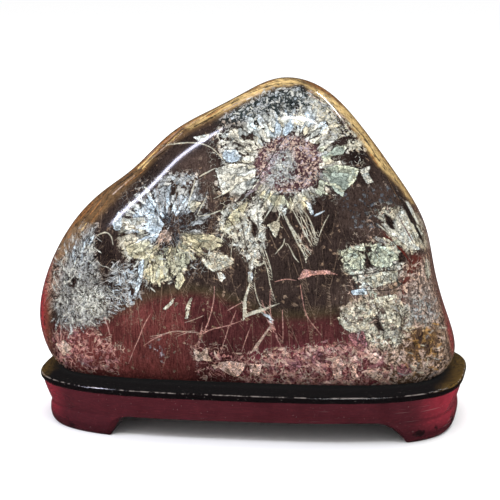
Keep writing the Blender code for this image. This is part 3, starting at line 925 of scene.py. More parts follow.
class Sheet:
    # A sheet on which marks are drawn: each vertex's place on it, how squarely it faces the sheet, how much
    # of it other sheets leave free, and how far apart the mesh's vertices are at most.
    def __init__(self, spots, facing, layers, free=1.0, spacing=2.4):
        self.spots, self.facing, self.layers, self.spacing = spots, facing, layers, spacing
        self.shown = ease(*facingFade, facing) * free

    def near(self, corners, margin):
        low, high = corners.min(0) - margin, corners.max(0) + margin
        inside = (self.spots > low).all(1) & (self.spots < high).all(1)
        return np.flatnonzero(inside & (self.facing > 0))

    def patch(self, layer, colour, strength, soft, corners):
        # Moves the layer's colour and strength to the patch's own, all inside it and less across its edge.
        corners = np.array(corners, float).reshape(-1, 2)
        near = self.near(corners, soft)
        share = ease(soft, -soft, outlineGap(self.spots[near], corners)) * self.shown[near]
        if layer == "ground":
            share = share * strength
        goal = np.array([*srgb(*palette[colour]), strength])
        values = self.layers[layer]
        values[near] += (goal - values[near]) * share[:, None]

    def shard(self, colour, corners):
        # Keeps the nearest shard's colour and the distance to its edge, negative inside.
        corners = np.array(corners, float).reshape(-1, 2)
        near = self.near(corners, markReach)
        gap = outlineGap(self.spots[near], corners) + (1 - self.shown[near]) * markReach
        values = self.layers["shard"]
        closer = gap < values[near, 3]
        colours = np.tile(srgb(*palette[colour]), (closer.sum(), 1))
        values[near[closer]] = np.column_stack([colours, gap[closer]])

    def vein(self, colour, points, widths, layer="vein"):
        # Keeps the nearest line's colour, the distance to its middle and half its width there.
        points = roundedLine(np.array(points, float).reshape(-1, 2))
        near = self.near(points, markReach)
        spread, half = lineSpread(self.spots[near], points, widths, self.spacing)
        half = half - (1 - self.shown[near]) * markReach
        values, widest = self.layers[layer], self.layers[layer + "Half"]
        closer = np.abs(spread) - half < np.abs(values[near, 3]) - widest[near]
        widest[near[closer]] = half[closer]
        colours = np.tile(srgb(*palette[colour]), (closer.sum(), 1))
        values[near[closer]] = np.column_stack([colours, spread[closer]])

    def spokes(self, centre, inner, outer, turns, run, share, sway):
        # Round a centre a share of the grains follow the spokes: so many go round, and so long outwards.
        # The spokes sway aside by waves of so many pixels.
        waves = swayWaves
        wave = (self.spots + self.spots[:, ::-1] * waves["lean"]) * waves["turn"]
        second = np.sin(waves["times"] * wave[:, ::-1] + waves["phase"])
        offset = self.spots - np.array(centre, float) + sway * (np.sin(wave) + waves["share"] * second)
        away = np.linalg.norm(offset, axis=1)
        start, end = inner * np.array(spokeFade["inner"]), outer * np.array(spokeFade["outer"])
        weight = ease(*start, away) * ease(*end, away) * self.shown * share
        stronger = weight > self.layers["spoke"][:, 3]
        around = offset / np.maximum(away, 1e-6)[:, None] * turns
        self.layers["spoke"][stronger] = np.column_stack([around, away / run, weight])[stronger]

    def petals(self, random, centre, colour, count, start, end, inner, outer, length, width):
        # Wedges set along the spokes between two angles: narrow at the foot, ragged and wide at the tip.
        form = petalForm
        centre = np.array(centre, float)
        for step in range(count):
            turn = np.radians(start + (end - start) * (step + random.uniform(0, 1)) / count)
            foot = centre + np.array([np.cos(turn), np.sin(turn)]) * random.uniform(inner, outer)
            turn += random.uniform(-form["stray"], form["stray"])
            ahead = np.array([np.cos(turn), np.sin(turn)]) * length * random.uniform(*form["lengths"])
            aside = np.array([-np.sin(turn), np.cos(turn)]) * width / 2 * random.uniform(*form["widths"])
            corners = np.array(form["corners"])
            for corner, stretch in enumerate(random.uniform(*form["uneven"], len(corners) - 1)):
                corners[corner, 0 if corner in form["tips"] else 1] *= stretch
            self.shard(colour, foot + corners @ np.stack([ahead, aside]))


hairs = {
    "front": (150, (100, 345), (176, 326)),     # how many, and the box of their upper ends
    "length": (14, 70),
    "lean": 0.32,
    "halfWidth": (-0.2, 0.16),
    "colour": "tan",
}


def layHairs(sheet, random, count, across, down):
    # Hair-fine cracks, most of them nearly upright.
    for _ in range(count):
        top = np.array([random.uniform(*across), random.uniform(*down)])
        lean = random.normal(0, hairs["lean"])
        line = [top, top + random.uniform(*hairs["length"]) * np.array([np.sin(lean), np.cos(lean)])]
        sheet.vein(hairs["colour"], line, [random.uniform(*hairs["halfWidth"])] * 2, "hair")


# Short crooked strokes: colours, how many, the corners of their patch, their usual heading in degrees
# clockwise from the right and how far they stray from it, shortest and longest, half the widest one's width.
strokes = [
    (("sand", "blush", "rose", "mauve", "rose"), 120,
     (258, 350, 300, 344, 352, 340, 384, 352, 404, 384, 250, 386),
     90, 180, (4, 11), 1.2),
    (("rose", "mauve", "sand"), 34,
     (52, 332, 100, 328, 128, 350, 120, 372, 56, 372),
     90, 180, (3, 9), 0.9),
    (("sand", "rose"), 18,
     (188, 346, 250, 352, 250, 384, 196, 380),
     90, 180, (3, 8), 0.9),
    (("bone", "mist"), 60,
     (222, 118, 262, 88, 300, 86, 330, 102, 346, 150, 330, 150, 300, 112, 250, 122),
     90, 180, (3, 8), 0.7),
    (("bone", "cream", "umber"), 30,
     (222, 206, 240, 198, 264, 196, 266, 240, 254, 276, 236, 246, 216, 232),
     100, 30, (8, 22), 1.0),
    (("pine", "umber", "moss"), 50,
     (342, 250, 398, 238, 402, 292, 362, 298, 344, 272),
     30, 60, (4, 10), 0.8),
    (("sand", "umber", "ash", "earth"), 110,
     (346, 312, 404, 290, 432, 256, 446, 320, 448, 370, 384, 386),
     70, 60, (4, 14), 0.6),
    (("bone", "ash", "soot", "umber"), 210,
     (50, 262, 70, 234, 94, 230, 104, 276, 112, 300, 96, 326, 58, 326, 46, 300),
     80, 50, (6, 20), 0.38),
    (("sand", "cream", "umber", "ochre"), 60,
     (398, 330, 416, 322, 440, 322, 444, 366, 424, 376, 402, 368),
     60, 90, (4, 11), 0.8),
    (("mist", "ice"), 26,
     (114, 262, 142, 262, 138, 304, 112, 308),
     100, 50, (3, 10), 0.7),
    (("umber", "bone", "soot"), 64,
     (120, 240, 150, 244, 200, 240, 222, 250, 172, 284, 150, 288, 132, 270),
     90, 60, (4, 10), 0.6),
    (("cream", "sand"), 5,
     (266, 206, 316, 206, 318, 244, 300, 256, 272, 236),
     75, 20, (8, 26), 0.5),
]


strokeForm = {
    "parts": 3,
    "bend": 28,                 # degrees that each part turns off the one before
    "fullness": (0.4, 1.0),     # half its width, as shares of the widest one's
    "taper": (0.4, 1.0, 1.0, 0.1),
    "tries": 4,                 # places tried for each stroke, as some fall beside the patch
}


def layStrokes(sheet, random, colours, count, corners, heading, stray, length, half):
    # Each starts inside its patch and turns a little at every part of its way.
    form = strokeForm
    corners = np.array(corners, float).reshape(-1, 2)
    starts = random.uniform(corners.min(0), corners.max(0), (count * form["tries"], 2))
    starts = starts[outlineGap(starts, corners) < 0][:count]
    for start in starts:
        first = heading + random.uniform(-stray, stray)
        turns = np.radians(first + np.cumsum(random.normal(0, form["bend"], form["parts"])))
        steps = np.stack([np.cos(turns), np.sin(turns)], 1) * random.uniform(*length) / form["parts"]
        line = np.concatenate([[start], start + np.cumsum(steps, 0)])
        wide = half * random.uniform(*form["fullness"])
        sheet.vein(colours[random.integers(len(colours))], line, wide * np.array(form["taper"]))


# Streaks that break up the gold rim bands, which are partly painted reflection.
rimStreaks = {
    # Streaks along the edge, between two lines of the picture, and how many; then their colours and widths.
    "left": ((58, 240, 71, 219, 99, 187, 143, 157, 178, 124, 236, 92, 275, 78),
             (78, 244, 95, 222, 122, 193, 147, 168, 190, 131, 250, 99, 282, 86), 90),
    "right": ((300, 80, 332, 92, 354, 110, 378, 141, 402, 174, 421, 208),
              (300, 92, 318, 99, 342, 121, 358, 141, 380, 170, 405, 210), 60),
    "colours": ("gold", "sand", "bronze", "bronze", "umber", "umber", "soot", "amber"),
    "share": (0.03, 0.16),      # shortest and longest, as shares of the whole edge
    "drift": 0.12,              # how far one moves between the two lines on its way
    "points": 5,
    "halfWidth": (-0.15, 0.7),
}


def layRimStreaks(sheet, random):
    # Each streak keeps its share of the way from the outer line to the inner one, and runs along both.
    form = rimStreaks
    points = form["points"]
    for name in ("left", "right"):
        outer, inner, count = form[name]
        outer, inner = np.array(outer, float).reshape(-1, 2), np.array(inner, float).reshape(-1, 2)
        knots = np.linspace(0, 1, len(outer))
        for _ in range(count):
            start = random.uniform(0, 1)
            along = np.linspace(start, min(start + random.uniform(*form["share"]), 1.0), points)
            across = random.uniform(0, 1) + np.linspace(0, random.normal(0, form["drift"]), points)
            lines = [np.stack([np.interp(along, knots, edge[:, axis]) for axis in (0, 1)], 1)
                     for edge in (outer, inner)]
            line = lines[0] + (lines[1] - lines[0]) * np.clip(across, 0, 1)[:, None]
            colour = form["colours"][random.integers(len(form["colours"]))]
            sheet.vein(colour, line, [random.uniform(*form["halfWidth"]), 0.0])


# The sides that the picture doesn't show carry flowers of the same kinds, on sheets that face them. Their
# places are millimetres across and up, and a flower has a size after them.
# Their honey and garnet tints and the wine and clay bands low down carry the front's rim bands and lower
# zone round the stone; like those, they are partly painted reflection.
hiddenSheets = [
    {
        "faces": (188, 6), "spacing": 5.0,
        "patches": [
            ("ground", "peat", 1, 30, (40, 60, 150, 40, 150, 130, 80, 140)),
            ("ground", "wine", 1, 20, (-170, 20, 170, 20, 160, 44, 60, 66, -20, 48, -90, 60, -170, 52)),
            ("grain", "clay", 0.45, 16, (-170, 20, 170, 20, 160, 40, 60, 54, -20, 40, -90, 50, -170, 44)),
            ("web", "sand", 0.7, 16, (-170, 20, 170, 20, 160, 38, 60, 58, -20, 42, -90, 54, -170, 48)),
            ("glaze", "honey", 0.6, 24, (-160, 60, -130, 150, -60, 222, -10, 262, -60, 262, -170, 170)),
            ("glaze", "honey", 0.6, 24, (140, 60, 112, 160, 84, 190, 20, 240, 60, 262, 170, 170)),
            ("grain", "moss", 0.7, 8, (60, 96, 96, 104, 112, 84, 92, 62, 66, 70)),
        ],
        "flowers": [((-62, 134), 1.3), ((36, 160), 1.0), ((84, 84), 0.95), ((-14, 84), 0.8),
                    ((-112, 80), 0.7)],
        "hairs": (70, (-140, 140), (-190, -60)),
    },
    {
        "faces": (-92, 12), "spacing": 4.0,
        "patches": [
            ("ground", "wine", 1, 14, (-90, 20, 90, 20, 90, 44, -90, 52)),
            ("grain", "clay", 0.45, 14, (-90, 20, 90, 20, 90, 40, -90, 46)),
            ("web", "sand", 0.7, 14, (-90, 20, 90, 20, 90, 40, -90, 48)),
            ("glaze", "honey", 0.75, 26, (-40, 60, 44, 60, 30, 250, -30, 250)),
            ("glaze", "garnet", 0.6, 34, (-40, 30, 50, 30, 44, 120, -24, 110)),
            ("grain", "ash", 0.5, 16, oval(10, 84, 40, 34)),
        ],
        "flowers": [((-14, 98), 0.8)],
        "hairs": (10, (-50, 50), (-190, -90)),
    },
    {
        "faces": (98, 10), "spacing": 4.0,
        "patches": [
            ("ground", "peat", 1, 20, (-80, 20, 80, 20, 70, 150, -70, 150)),
            ("grain", "tan", 0.55, 22, (-80, 20, 80, 20, 70, 130, -70, 130)),
            ("web", "sand", 0.3, 20, (-80, 20, 80, 20, 70, 130, -70, 130)),
            ("glaze", "honey", 0.75, 30, (-44, 140, 44, 140, 34, 250, -34, 250)),
            ("glaze", "garnet", 0.6, 30, (-56, 30, 40, 30, 26, 160, -40, 170)),
        ],
        "flowers": [((8, 112), 0.8)],
        "hairs": (10, (-50, 50), (-190, -90)),
    },
]
millimetre = 1 / 0.75           # a sheet's own pixels for each millimetre


hiddenFlower = {
    # Patches: layer, colour, strength, width of the soft edge, then the oval's place and half its width
    # and height.
    "patches": [
        ("ground", "plum", 1.0, 3, 0, 0, 18, 16),
        ("grain", "bone", 0.6, 8, 0, 0, 46, 42),
        ("grain", "lilac", 0.42, 4, 0, 0, 20, 18),
        ("grain", "ash", 0.7, 3, -2, 1, 8, 9),
        ("web", "cream", 0.14, 9, 0, 0, 62, 56),
    ],
    # From where to where the spokes run, how many go round, how long their cells are, share and sway.
    "spokes": (19, 52, 7, 14, 1.0, 1.5),
    "petals": (19, 36, 17, 6),  # nearest and farthest foot, length and width
    # Colour, how many, first and last angle from the flower's own turn.
    "rings": [("cream", 15, 0, 360), ("bone", 9, 20, 190), ("ice", 8, 150, 270), ("straw", 8, 260, 380)],
}


def layFlower(sheet, random, centre, size):
    # A dark granular heart, a ring of petals of mixed colours, and grains and threads round them.
    form = hiddenFlower
    x, y = centre
    for layer, colour, strength, soft, right, down, wide, high in form["patches"]:
        sheet.patch(layer, colour, strength, soft, oval(x + right, y + down, wide * size, high * size))
    inner, outer, turns, run, share, sway = form["spokes"]
    sheet.spokes(centre, inner * size, outer * size, turns, run * size, share, sway)
    turn = random.uniform(0, 360)
    sizes = np.array(form["petals"]) * size
    for colour, count, start, end in form["rings"]:
        sheet.petals(random, centre, colour, count, turn + start, turn + end, *sizes)


def vertexNormals(mesh):
    normals = np.empty(len(mesh.vertices) * 3, np.float32)
    mesh.vertex_normals.foreach_get("vector", normals)
    return normals.reshape(-1, 3)


def keepLayer(mesh, name, values):
    # Puts one value, or four, for each vertex into an attribute that the material reads.
    kind, slot = ("FLOAT", "value") if values.ndim == 1 else ("FLOAT_COLOR", "color")
    mesh.attributes.new(name, kind, "POINT").data.foreach_set(slot, values.astype(np.float32).ravel())


# What each layer holds where nothing is drawn: a colour, then its strength or the distance to a mark.
bareLayers = {
    "ground": ("umber", 1.0),
    "grain": ("tan", 0.12),
    "glaze": ("bronze", 0.0),
    "web": ("cream", 0.0),
    "speck": ("tan", 0.0),
    "shard": ("cream", markReach),
    "vein": ("cream", markReach),
    "hair": (hairs["colour"], markReach),
}
veinTaper = (0.3, 0.2)          # a line's width at its very ends, as shares of the widths given
randomStart = 11                # another number gives other petals, strokes and cracks


def drawMarkings(stone, points):
    mesh = stone.data
    normals = vertexNormals(mesh)
    count = len(points)
    layers = {name: np.tile([*srgb(*palette[colour]), last], (count, 1))
              for name, (colour, last) in bareLayers.items()}
    layers["veinHalf"] = np.full(count, -markReach)
    layers["hairHalf"] = np.full(count, -markReach)
    layers["spoke"] = np.zeros((count, 4))
    random = np.random.default_rng(randomStart)
    eye = cameraAxes()[0]
    sight = eye - points
    sight /= np.linalg.norm(sight, axis=1)[:, None]
    front = Sheet(pictureSpots(points), (normals * sight).sum(1), layers)
    for hidden in hiddenSheets:
        right, up, back = sheetAxes(*hidden["faces"])
        spots = np.stack([points @ right, -(points @ up)], 1) * 1000 * millimetre
        sheet = Sheet(spots, normals @ back, layers, ease(*frontFree, front.facing), hidden["spacing"])
        for layer, colour, strength, soft, corners in hidden["patches"]:
            corners = np.array(corners, float).reshape(-1, 2) * (millimetre, -millimetre)
            sheet.patch(layer, colour, strength, soft, corners)
        for (across, high), size in hidden["flowers"]:
            layFlower(sheet, random, (across * millimetre, -high * millimetre), size)
        layHairs(sheet, random, *hidden["hairs"])
    for layer, patches in frontPatches.items():
        for colour, strength, soft, corners in patches:
            front.patch(layer, colour, strength, soft, corners)
    for centre, spokes, rings in frontFlowers:
        if spokes:
            front.spokes(centre, *spokes)
        for ring in rings:
            front.petals(random, centre, *ring)
    for colour, outlines in frontShards.items():
        for corners in outlines:
            front.shard(colour, corners)
    layHairs(front, random, *hairs["front"])
    layRimStreaks(front, random)
    for stroke in strokes:
        layStrokes(front, random, *stroke)
    for colour, lines in frontVeins.items():
        for line in lines:
            start, end = line[0] * veinShare, line[1] * veinShare
            widths = [start * veinTaper[0], start, (start + end) / 2, end, end * veinTaper[1]]
            front.vein(colour, crooked(random, line[2:]), widths)
    for name, values in layers.items():
        keepLayer(mesh, name, values)
    print("markings drawn")


stoneFinish = {
    "roughness": 0.10,
    "specular": 0.42,
    "depth": 0.66,              # how dark the polish makes the whole stone
    # Noises: waves for each metre, detail and roughness.
    "noises": {
        "broad": (38.0, 5.0, 0.6),
        "middling": (240.0, 6.0, 0.72),
        "fine": (900.0, 3.0, 0.7),
        "fibres": (900.0, 3.0, 0.7),
        "healed": (120.0, 3.0, 0.5),
        "threadBreaks": (190.0, 3.0, 0.5),
        "threadFields": (70.0, 2.0, 0.5),
        "edges": (800.0, 3.0, 0.65),
        "streaks": (260.0, 5.0, 0.7),
    },
    "fibreStretch": (1.0, 1.0, 0.12),
    "streakStretch": (0.6, 1.0, 1.4),
    # Cells: how many go on a metre, and how they are bent: waves for each metre, reach, detail.
    "grainCells": 400.0,
    "grainBend": (170.0, 0.0045, 4.0),
    "spokeBend": (0.8, 1.1, 3.0),
    "webCells": 250.0,
    "webBend": (119.0, 0.0072, 3.0),
    "crumbCells": 950.0,
    "crumbBend": (400.0, 0.0016, 2.0),
    # Tones over a value from 0 to 1: a grey, or red, green and blue, at each of its stops.
    "tones": {
        "clouds": [(0.3, 0.5), (0.68, 1.15)],
        "fibres": [(0.34, 0.65), (0.62, 1.6)],
        "grit": [(0.35, 0.7), (0.65, 1.35)],
        "cell": [(0.0, 0.5), (0.4, 1.0), (1.0, 1.35)],
        "blotches": [(0.34, 0.3), (0.47, 0.9), (0.6, 1.3)],
        "hue": [(0.0, (0.92, 1.0, 1.08)), (0.4, (1.0, 1.0, 1.0)), (1.0, (1.05, 0.99, 0.90))],
        "sugar": [(0.36, 0.35), (0.5, 0.95), (0.64, 1.25)],
        "seam": [(0.0, 0.2), (0.05, 0.5), (0.12, 1.25), (0.22, 1.1), (0.42, 0.82)],
        "shardHeart": [(0.0, 1.25), (0.12, 1.1), (0.3, 0.9)],
        "crumb": [(0.0, 0.6), (1.0, 1.3)],
        "streaks": [(0.3, 0.25), (0.5, 0.85), (0.66, 1.25)],
    },
    # Fades: from where to where a mask rises from 0 to 1, or between two other values.
    "fades": {
        "spokes": (-0.02, 0.02),
        "grains": (-0.06, 0.06),
        "healed": (0.32, 0.54, 0.45, 1.0),
        "threads": (-0.03, 0.03),
        "threadBreaks": (0.42, 0.52),
        "threadFields": (0.34, 0.55, 0.25, 1.0),
        "drawn": (0.02, 0.12),
        "shardShade": (1.7, 0.2),
        "shard": (0.45, -0.35),
        "streaks": (0.3, 0.5, 0.45, 1.0),
        "lines": (0.5, -0.3),
    },
    "spokeSwing": 1.5,          # how raggedly the long cells begin
    # A grain is missing by its own lot, by the noise and by a fixed share taken off.
    "missing": {"lot": 0.75, "noise": 1.1, "less": 0.42},
    "thread": {"width": 0.13, "swing": 0.08, "strength": 0.85},
    # Shards and lines: pixels that an edge moves, from the lowest noise to the highest.
    "shardWander": 3.2,
    "veinWander": 1.1,
    "shardShade": ((0.5, 0.42, 0.4), 0.7),      # the dark line round each, and its strength
    "shardCracks": 0.8,
    "shardDepth": -0.1,         # turns pixels inside a shard into the tone's 0 to 1
    "crumb": {"swing": 0.8, "strength": 0.85},
    "lines": {"hair": 0.6, "vein": 0.9},
    "lineTone": 0.7,            # how much of the grains' tone lines take on
}


def stoneGround(wire, place, fine):
    # Broad clouds, upright fibres and fine grit over the drawn ground.
    noises, tones = stoneFinish["noises"], stoneFinish["tones"]
    fibres = place.stretched(*stoneFinish["fibreStretch"]).noise(*noises["fibres"])
    dark = wire.attribute("ground").dimmed(place.noise(*noises["broad"]).graded(tones["clouds"]))
    return dark.dimmed(fibres.graded(tones["fibres"])).dimmed(fine.graded(tones["grit"]))


def stoneCells(wire, place, middling, fine):
    # Bent cells everywhere, and long ones along the spokes of a flower. The first value is each cell's
    # lot, the second its tone, and the third the tone of the cracks between cells.
    finish, tones = stoneFinish, stoneFinish["tones"]
    across, outwards, rest = wire.attribute("spoke").parts()
    turned = wire.node("ShaderNodeCombineXYZ", {}, {0: across, 1: outwards, 2: rest})
    lots, seam = place.bent(*finish["grainBend"]).cells(finish["grainCells"])
    longLots, longSeam = turned.bent(*finish["spokeBend"]).cells(1.0)
    along = wire.attribute("spoke", "Alpha") + middling.swing(finish["spokeSwing"]) - 0.5
    along = along.ramp(*finish["fades"]["spokes"])
    lot, shade, hue = wire.mix(along, lots, longLots).parts()
    tone = shade.graded(tones["cell"]).dimmed(middling.graded(tones["blotches"]))
    tone = tone.dimmed(hue.graded(tones["hue"])).dimmed(fine.graded(tones["sugar"]))
    return lot, tone, (seam + (longSeam - seam) * along).graded(tones["seam"])


def stoneThreads(wire, place, fine):
    # The web's mask: bent cell edges, broken here and there.
    finish, fades, noises = stoneFinish, stoneFinish["fades"], stoneFinish["noises"]
    web = wire.attribute("web", "Alpha")
    edge = place.bent(*finish["webBend"]).cells(finish["webCells"])[1]
    thread = web * finish["thread"]["width"] + fine.swing(finish["thread"]["swing"]) - edge
    thread = thread.ramp(*fades["threads"]) * web.ramp(*fades["drawn"]) * finish["thread"]["strength"]
    for name in ("threadBreaks", "threadFields"):
        thread = thread * place.noise(*noises[name]).ramp(*fades[name])
    return thread


def stoneCrumbs(wire, place, middling):
    # The crumbs' mask and their tone.
    finish, fades = stoneFinish, stoneFinish["fades"]
    lot, shade = place.bent(*finish["crumbBend"]).cells(finish["crumbCells"])[0].parts()[:2]
    spread = wire.attribute("speck", "Alpha")
    covered = (spread - lot - middling.swing(finish["crumb"]["swing"])).ramp(*fades["grains"])
    covered = covered * spread.ramp(*fades["drawn"]) * finish["crumb"]["strength"]
    return covered, shade.graded(finish["tones"]["crumb"])


def paintStone(stone):
    finish = stoneFinish
    fades, noises, tones = finish["fades"], finish["noises"], finish["tones"]
    material, shader, wire = newMaterial("polishedStone", Roughness=finish["roughness"])
    shader.inputs["Specular IOR Level"].default_value = finish["specular"]
    place = wire.node("ShaderNodeTexCoord", {}, {}, "Object")
    middling, fine = place.noise(*noises["middling"]), place.noise(*noises["fine"])
    dark = stoneGround(wire, place, fine)
    lot, tone, cracks = stoneCells(wire, place, middling, fine)

    # Light grains: whole cells, the more of them the stronger the patch, their edges eaten by noise.
    weights = finish["missing"]
    missing = lot * weights["lot"] + middling * weights["noise"] - weights["less"]
    light = (wire.attribute("grain", "Alpha") - missing).ramp(*fades["grains"])
    broken = place.noise(*noises["healed"]).ramp(*fades["healed"])
    colour = wire.mix(light, dark, wire.attribute("grain").dimmed(tone).dimmed(cracks, broken))
    colour = wire.mix(stoneThreads(wire, place, fine), colour, wire.attribute("web").dimmed(tone))

    # Shards: their edges wander, a dark line surrounds them, and fine cracks part them.
    ragged = place.noise(*noises["edges"])
    gap = wire.attribute("shard", "Alpha") + ragged.swing(finish["shardWander"])
    shade, strength = finish["shardShade"]
    colour = wire.mix(gap.ramp(*fades["shardShade"]) * strength, colour, dark.dimmed(shade))
    body = wire.attribute("shard").dimmed(tone).dimmed(cracks, broken * finish["shardCracks"])
    body = body.dimmed((gap * finish["shardDepth"]).graded(tones["shardHeart"]))
    colour = wire.mix(gap.ramp(*fades["shard"]), colour, body)
    covered, crumbTone = stoneCrumbs(wire, place, middling)
    colour = wire.mix(covered, colour, wire.attribute("speck").dimmed(crumbTone))

    # Tints on top, streaked and speckled, among them the rim bands that are partly painted reflection, then
    # veins and hair-fine cracks.
    streaks = place.stretched(*finish["streakStretch"]).noise(*noises["streaks"])
    tint = wire.attribute("glaze").dimmed(streaks.graded(tones["streaks"]))
    colour = wire.mix(wire.attribute("glaze", "Alpha") * streaks.ramp(*fades["streaks"]), colour, tint)
    for name, strength in finish["lines"].items():
        beyond = abs(wire.attribute(name, "Alpha")) - wire.attribute(name + "Half", "Fac")
        beyond = beyond + ragged.swing(finish["veinWander"])
        line = wire.attribute(name).dimmed(tone, finish["lineTone"])
        colour = wire.mix(beyond.ramp(*fades["lines"]) * strength, colour, line)
    feed(colour.dimmed((finish["depth"],) * 3), shader, "Base Color")
    stone.data.materials.append(material)
    print("stone painted")


def makeStone():
    points, faces = stoneSurface()
    stone = meshPiece("polishedStone", points, faces)
    stone.visible_glossy = False    # the lacquer stays black beside the stone, as in the picture
    print("stone surface", len(points), "points")
    drawMarkings(stone, points)
    paintStone(stone)
    return stone, points, faces


standFinish = {
    "roughness": (0.104, 0.195),    # in the smoothest spots and in the dullest
    "specular": 0.45,
    "apron": (66, 26, 32),
    # The brighter red of the ends is a painted highlight.
    "ends": (150, 46, 60),
    "foot": (54, 20, 26),
    "rim": (12, 8, 9),
    # The olive on the rim's ends is a painted reflection of warm surroundings.
    "olive": (120, 92, 44),         # what the rim's ends take on
    # This pale colour serves a painted highlight along the rim's edge, and wear in scratches and dust.
    "wearAndHighlight": (150, 140, 134),        # along the edges, in scratches and as dust
    # Noises: waves for each metre, detail and roughness; then those whose waves run long in x or y.
    "noises": {
        "cloud": (26.0, 5.0, 0.62),
        "pores": (1100.0, 4.0, 0.7),
        "mottled": (420.0, 4.0, 0.7),
        "spots": (60.0, 3.0, 0.6),
        "edge": (150.0, 4.0, 0.7),
        "scratch": (1500.0, 1.0, 0.5),
        "scratchFields": (18.0, 2.0, 0.5),
        "dust": (900.0, 1.0, 0.5),
    },
    "stretched": {"pores": (0.10, 0.30, 1.0), "scratch": (0.015, 0.015, 1.0)},
    # Tints of the red by a noise: from where to where in it, strength, and what multiplies the colour.
    "tints": [
        ("cloud", (0.42, 0.68), 0.6, (0.45, 0.4, 0.42)),
        ("pores", (0.42, 0.66), 0.5, (1.7, 1.35, 1.3)),
        ("mottled", (0.5, 0.68), 0.4, (1.7, 1.5, 1.5)),
    ],
    # Where the colours change, in metres from the middle or up, and how far the clouds shift that.
    "endReach": ((0.124, 0.162), 0.02),
    "footHeight": ((0.017, 0.004), 0.01, 0.8),
    "rimHeight": ((0.0330, 0.0340), 0.002),
    "oliveReach": ((0.140, 0.158), 0.02),
    "oliveHeight": (0.0366, 0.0380),
    "oliveMottle": ((0.35, 0.6), 0.75),
    # Painted shade in creases near the ends, above the foot's lip and at the waist: height, how far the
    # clouds shift it, half its width, strength.
    "creases": [(0.0055, 0.004, 0.0024, 0.6), (0.0160, 0.0, 0.0022, 0.4)],
    "creaseCore": 0.0004,
    "creaseReach": (0.088, 0.112),
    "spots": ((0.56, 0.62), (0.014, 0.008), 0.8),       # in the noise, below which height, strength
    # A painted highlight along the rim's front edge: height, nearness, span in its noise, strength.
    "edge": (0.0379, (0.0005, 0.0001), (0.46, 0.58), 0.55),
    "scratch": ((0.72, 0.76), (0.55, 0.62), 0.4),
    "dust": ((0.75, 0.79), 0.5),
    "mottleSpan": (0.3, 0.7),
}


def standReds(noises, fromMiddle, z):
    # The red sides: brighter at the ends, a painted highlight, and darker at the feet, clouded, with long
    # pores and fine mottling.
    finish = standFinish
    cloud = noises["cloud"]
    foot, rim = srgb(*finish["foot"]), srgb(*finish["rim"])
    # The painted highlight: brighter red towards the ends.
    reach, shift = finish["endReach"]
    ends = (fromMiddle + cloud.swing(shift)).ramp(*reach)
    red = ends.mix(ends, srgb(*finish["apron"]), srgb(*finish["ends"]))
    height, shift, strength = finish["footHeight"]
    red = red.mix((z + cloud.swing(shift)).ramp(*height) * strength, red, foot)
    for name, span, strength, tint in finish["tints"]:
        red = red.dimmed(tint, noises[name].ramp(*span) * strength)
    # Painted shade in the creases near the ends.
    crease = 0.0
    for height, shift, half, strength in finish["creases"]:
        off = abs(z - height + cloud.swing(shift))
        crease = crease + off.ramp(half, finish["creaseCore"]) * strength
    red = red.mix(crease * fromMiddle.ramp(*finish["creaseReach"]), red, foot)
    span, height, strength = finish["spots"]
    return red.mix(noises["spots"].ramp(*span) * z.ramp(*height) * strength, red, rim)


def standBlack(noises, fromMiddle, z):
    # The black rim, with a painted olive reflection at its ends.
    finish = standFinish
    reach, shift = finish["oliveReach"]
    span, strength = finish["oliveMottle"]
    olive = (fromMiddle + noises["cloud"].swing(shift)).ramp(*reach) * z.ramp(*finish["oliveHeight"])
    olive = olive * noises["mottled"].ramp(*span) * strength
    return olive.mix(olive, srgb(*finish["rim"]), srgb(*finish["olive"]))


def standWearAndHighlight(noises, z):
    # The masks of a painted highlight along the rim's edge, thin level scratches and dust.
    height, nearness, span, strength = standFinish["edge"]
    edge = abs(z - height).ramp(*nearness) * noises["edge"].ramp(*span) * strength
    span, fields, strength = standFinish["scratch"]
    scratch = noises["scratch"].ramp(*span) * noises["scratchFields"].ramp(*fields) * strength
    span, strength = standFinish["dust"]
    return edge, scratch, noises["dust"].ramp(*span) * strength


def paintStand(stand):
    finish = standFinish
    material, shader, wire = newMaterial("redBlackLacquer")
    shader.inputs["Specular IOR Level"].default_value = finish["specular"]
    place = wire.node("ShaderNodeTexCoord", {}, {}, "Object")
    fromMiddle = abs(wire.node("ShaderNodeSeparateXYZ", {}, {0: place}, 0) - standShape["centreX"])
    z = wire.node("ShaderNodeSeparateXYZ", {}, {0: place}, 2)
    noises = {}
    for name, noise in finish["noises"].items():
        stretch = finish["stretched"].get(name)
        noises[name] = (place.stretched(*stretch) if stretch else place).noise(*noise)
    height, shift = finish["rimHeight"]
    rim = (z + noises["cloud"].swing(shift)).ramp(*height)
    colour = wire.mix(rim, standReds(noises, fromMiddle, z), standBlack(noises, fromMiddle, z))
    # A painted highlight along the rim's edge, then scratches and dust, all in the one pale colour.
    for mask in standWearAndHighlight(noises, z):
        colour = wire.mix(mask, colour, srgb(*finish["wearAndHighlight"]))
    feed(colour, shader, "Base Color")
    feed(noises["mottled"].ramp(*finish["mottleSpan"], *finish["roughness"]), shader, "Roughness")
    stand.data.materials.append(material)
    print("stand painted")


def makeStand(stonePoint, stoneFaces):
    points, faces = standSurface(stonePoint, stoneFaces)
    stand = meshPiece("lacqueredStand", points, faces)
    print("stand surface", len(points), "points")
    paintStand(stand)
    return stand


floorFinish = {"size": 12.0, "colour": (0.97, 0.97, 0.97, 1.0), "roughness": 0.6, "specular": 0.0}


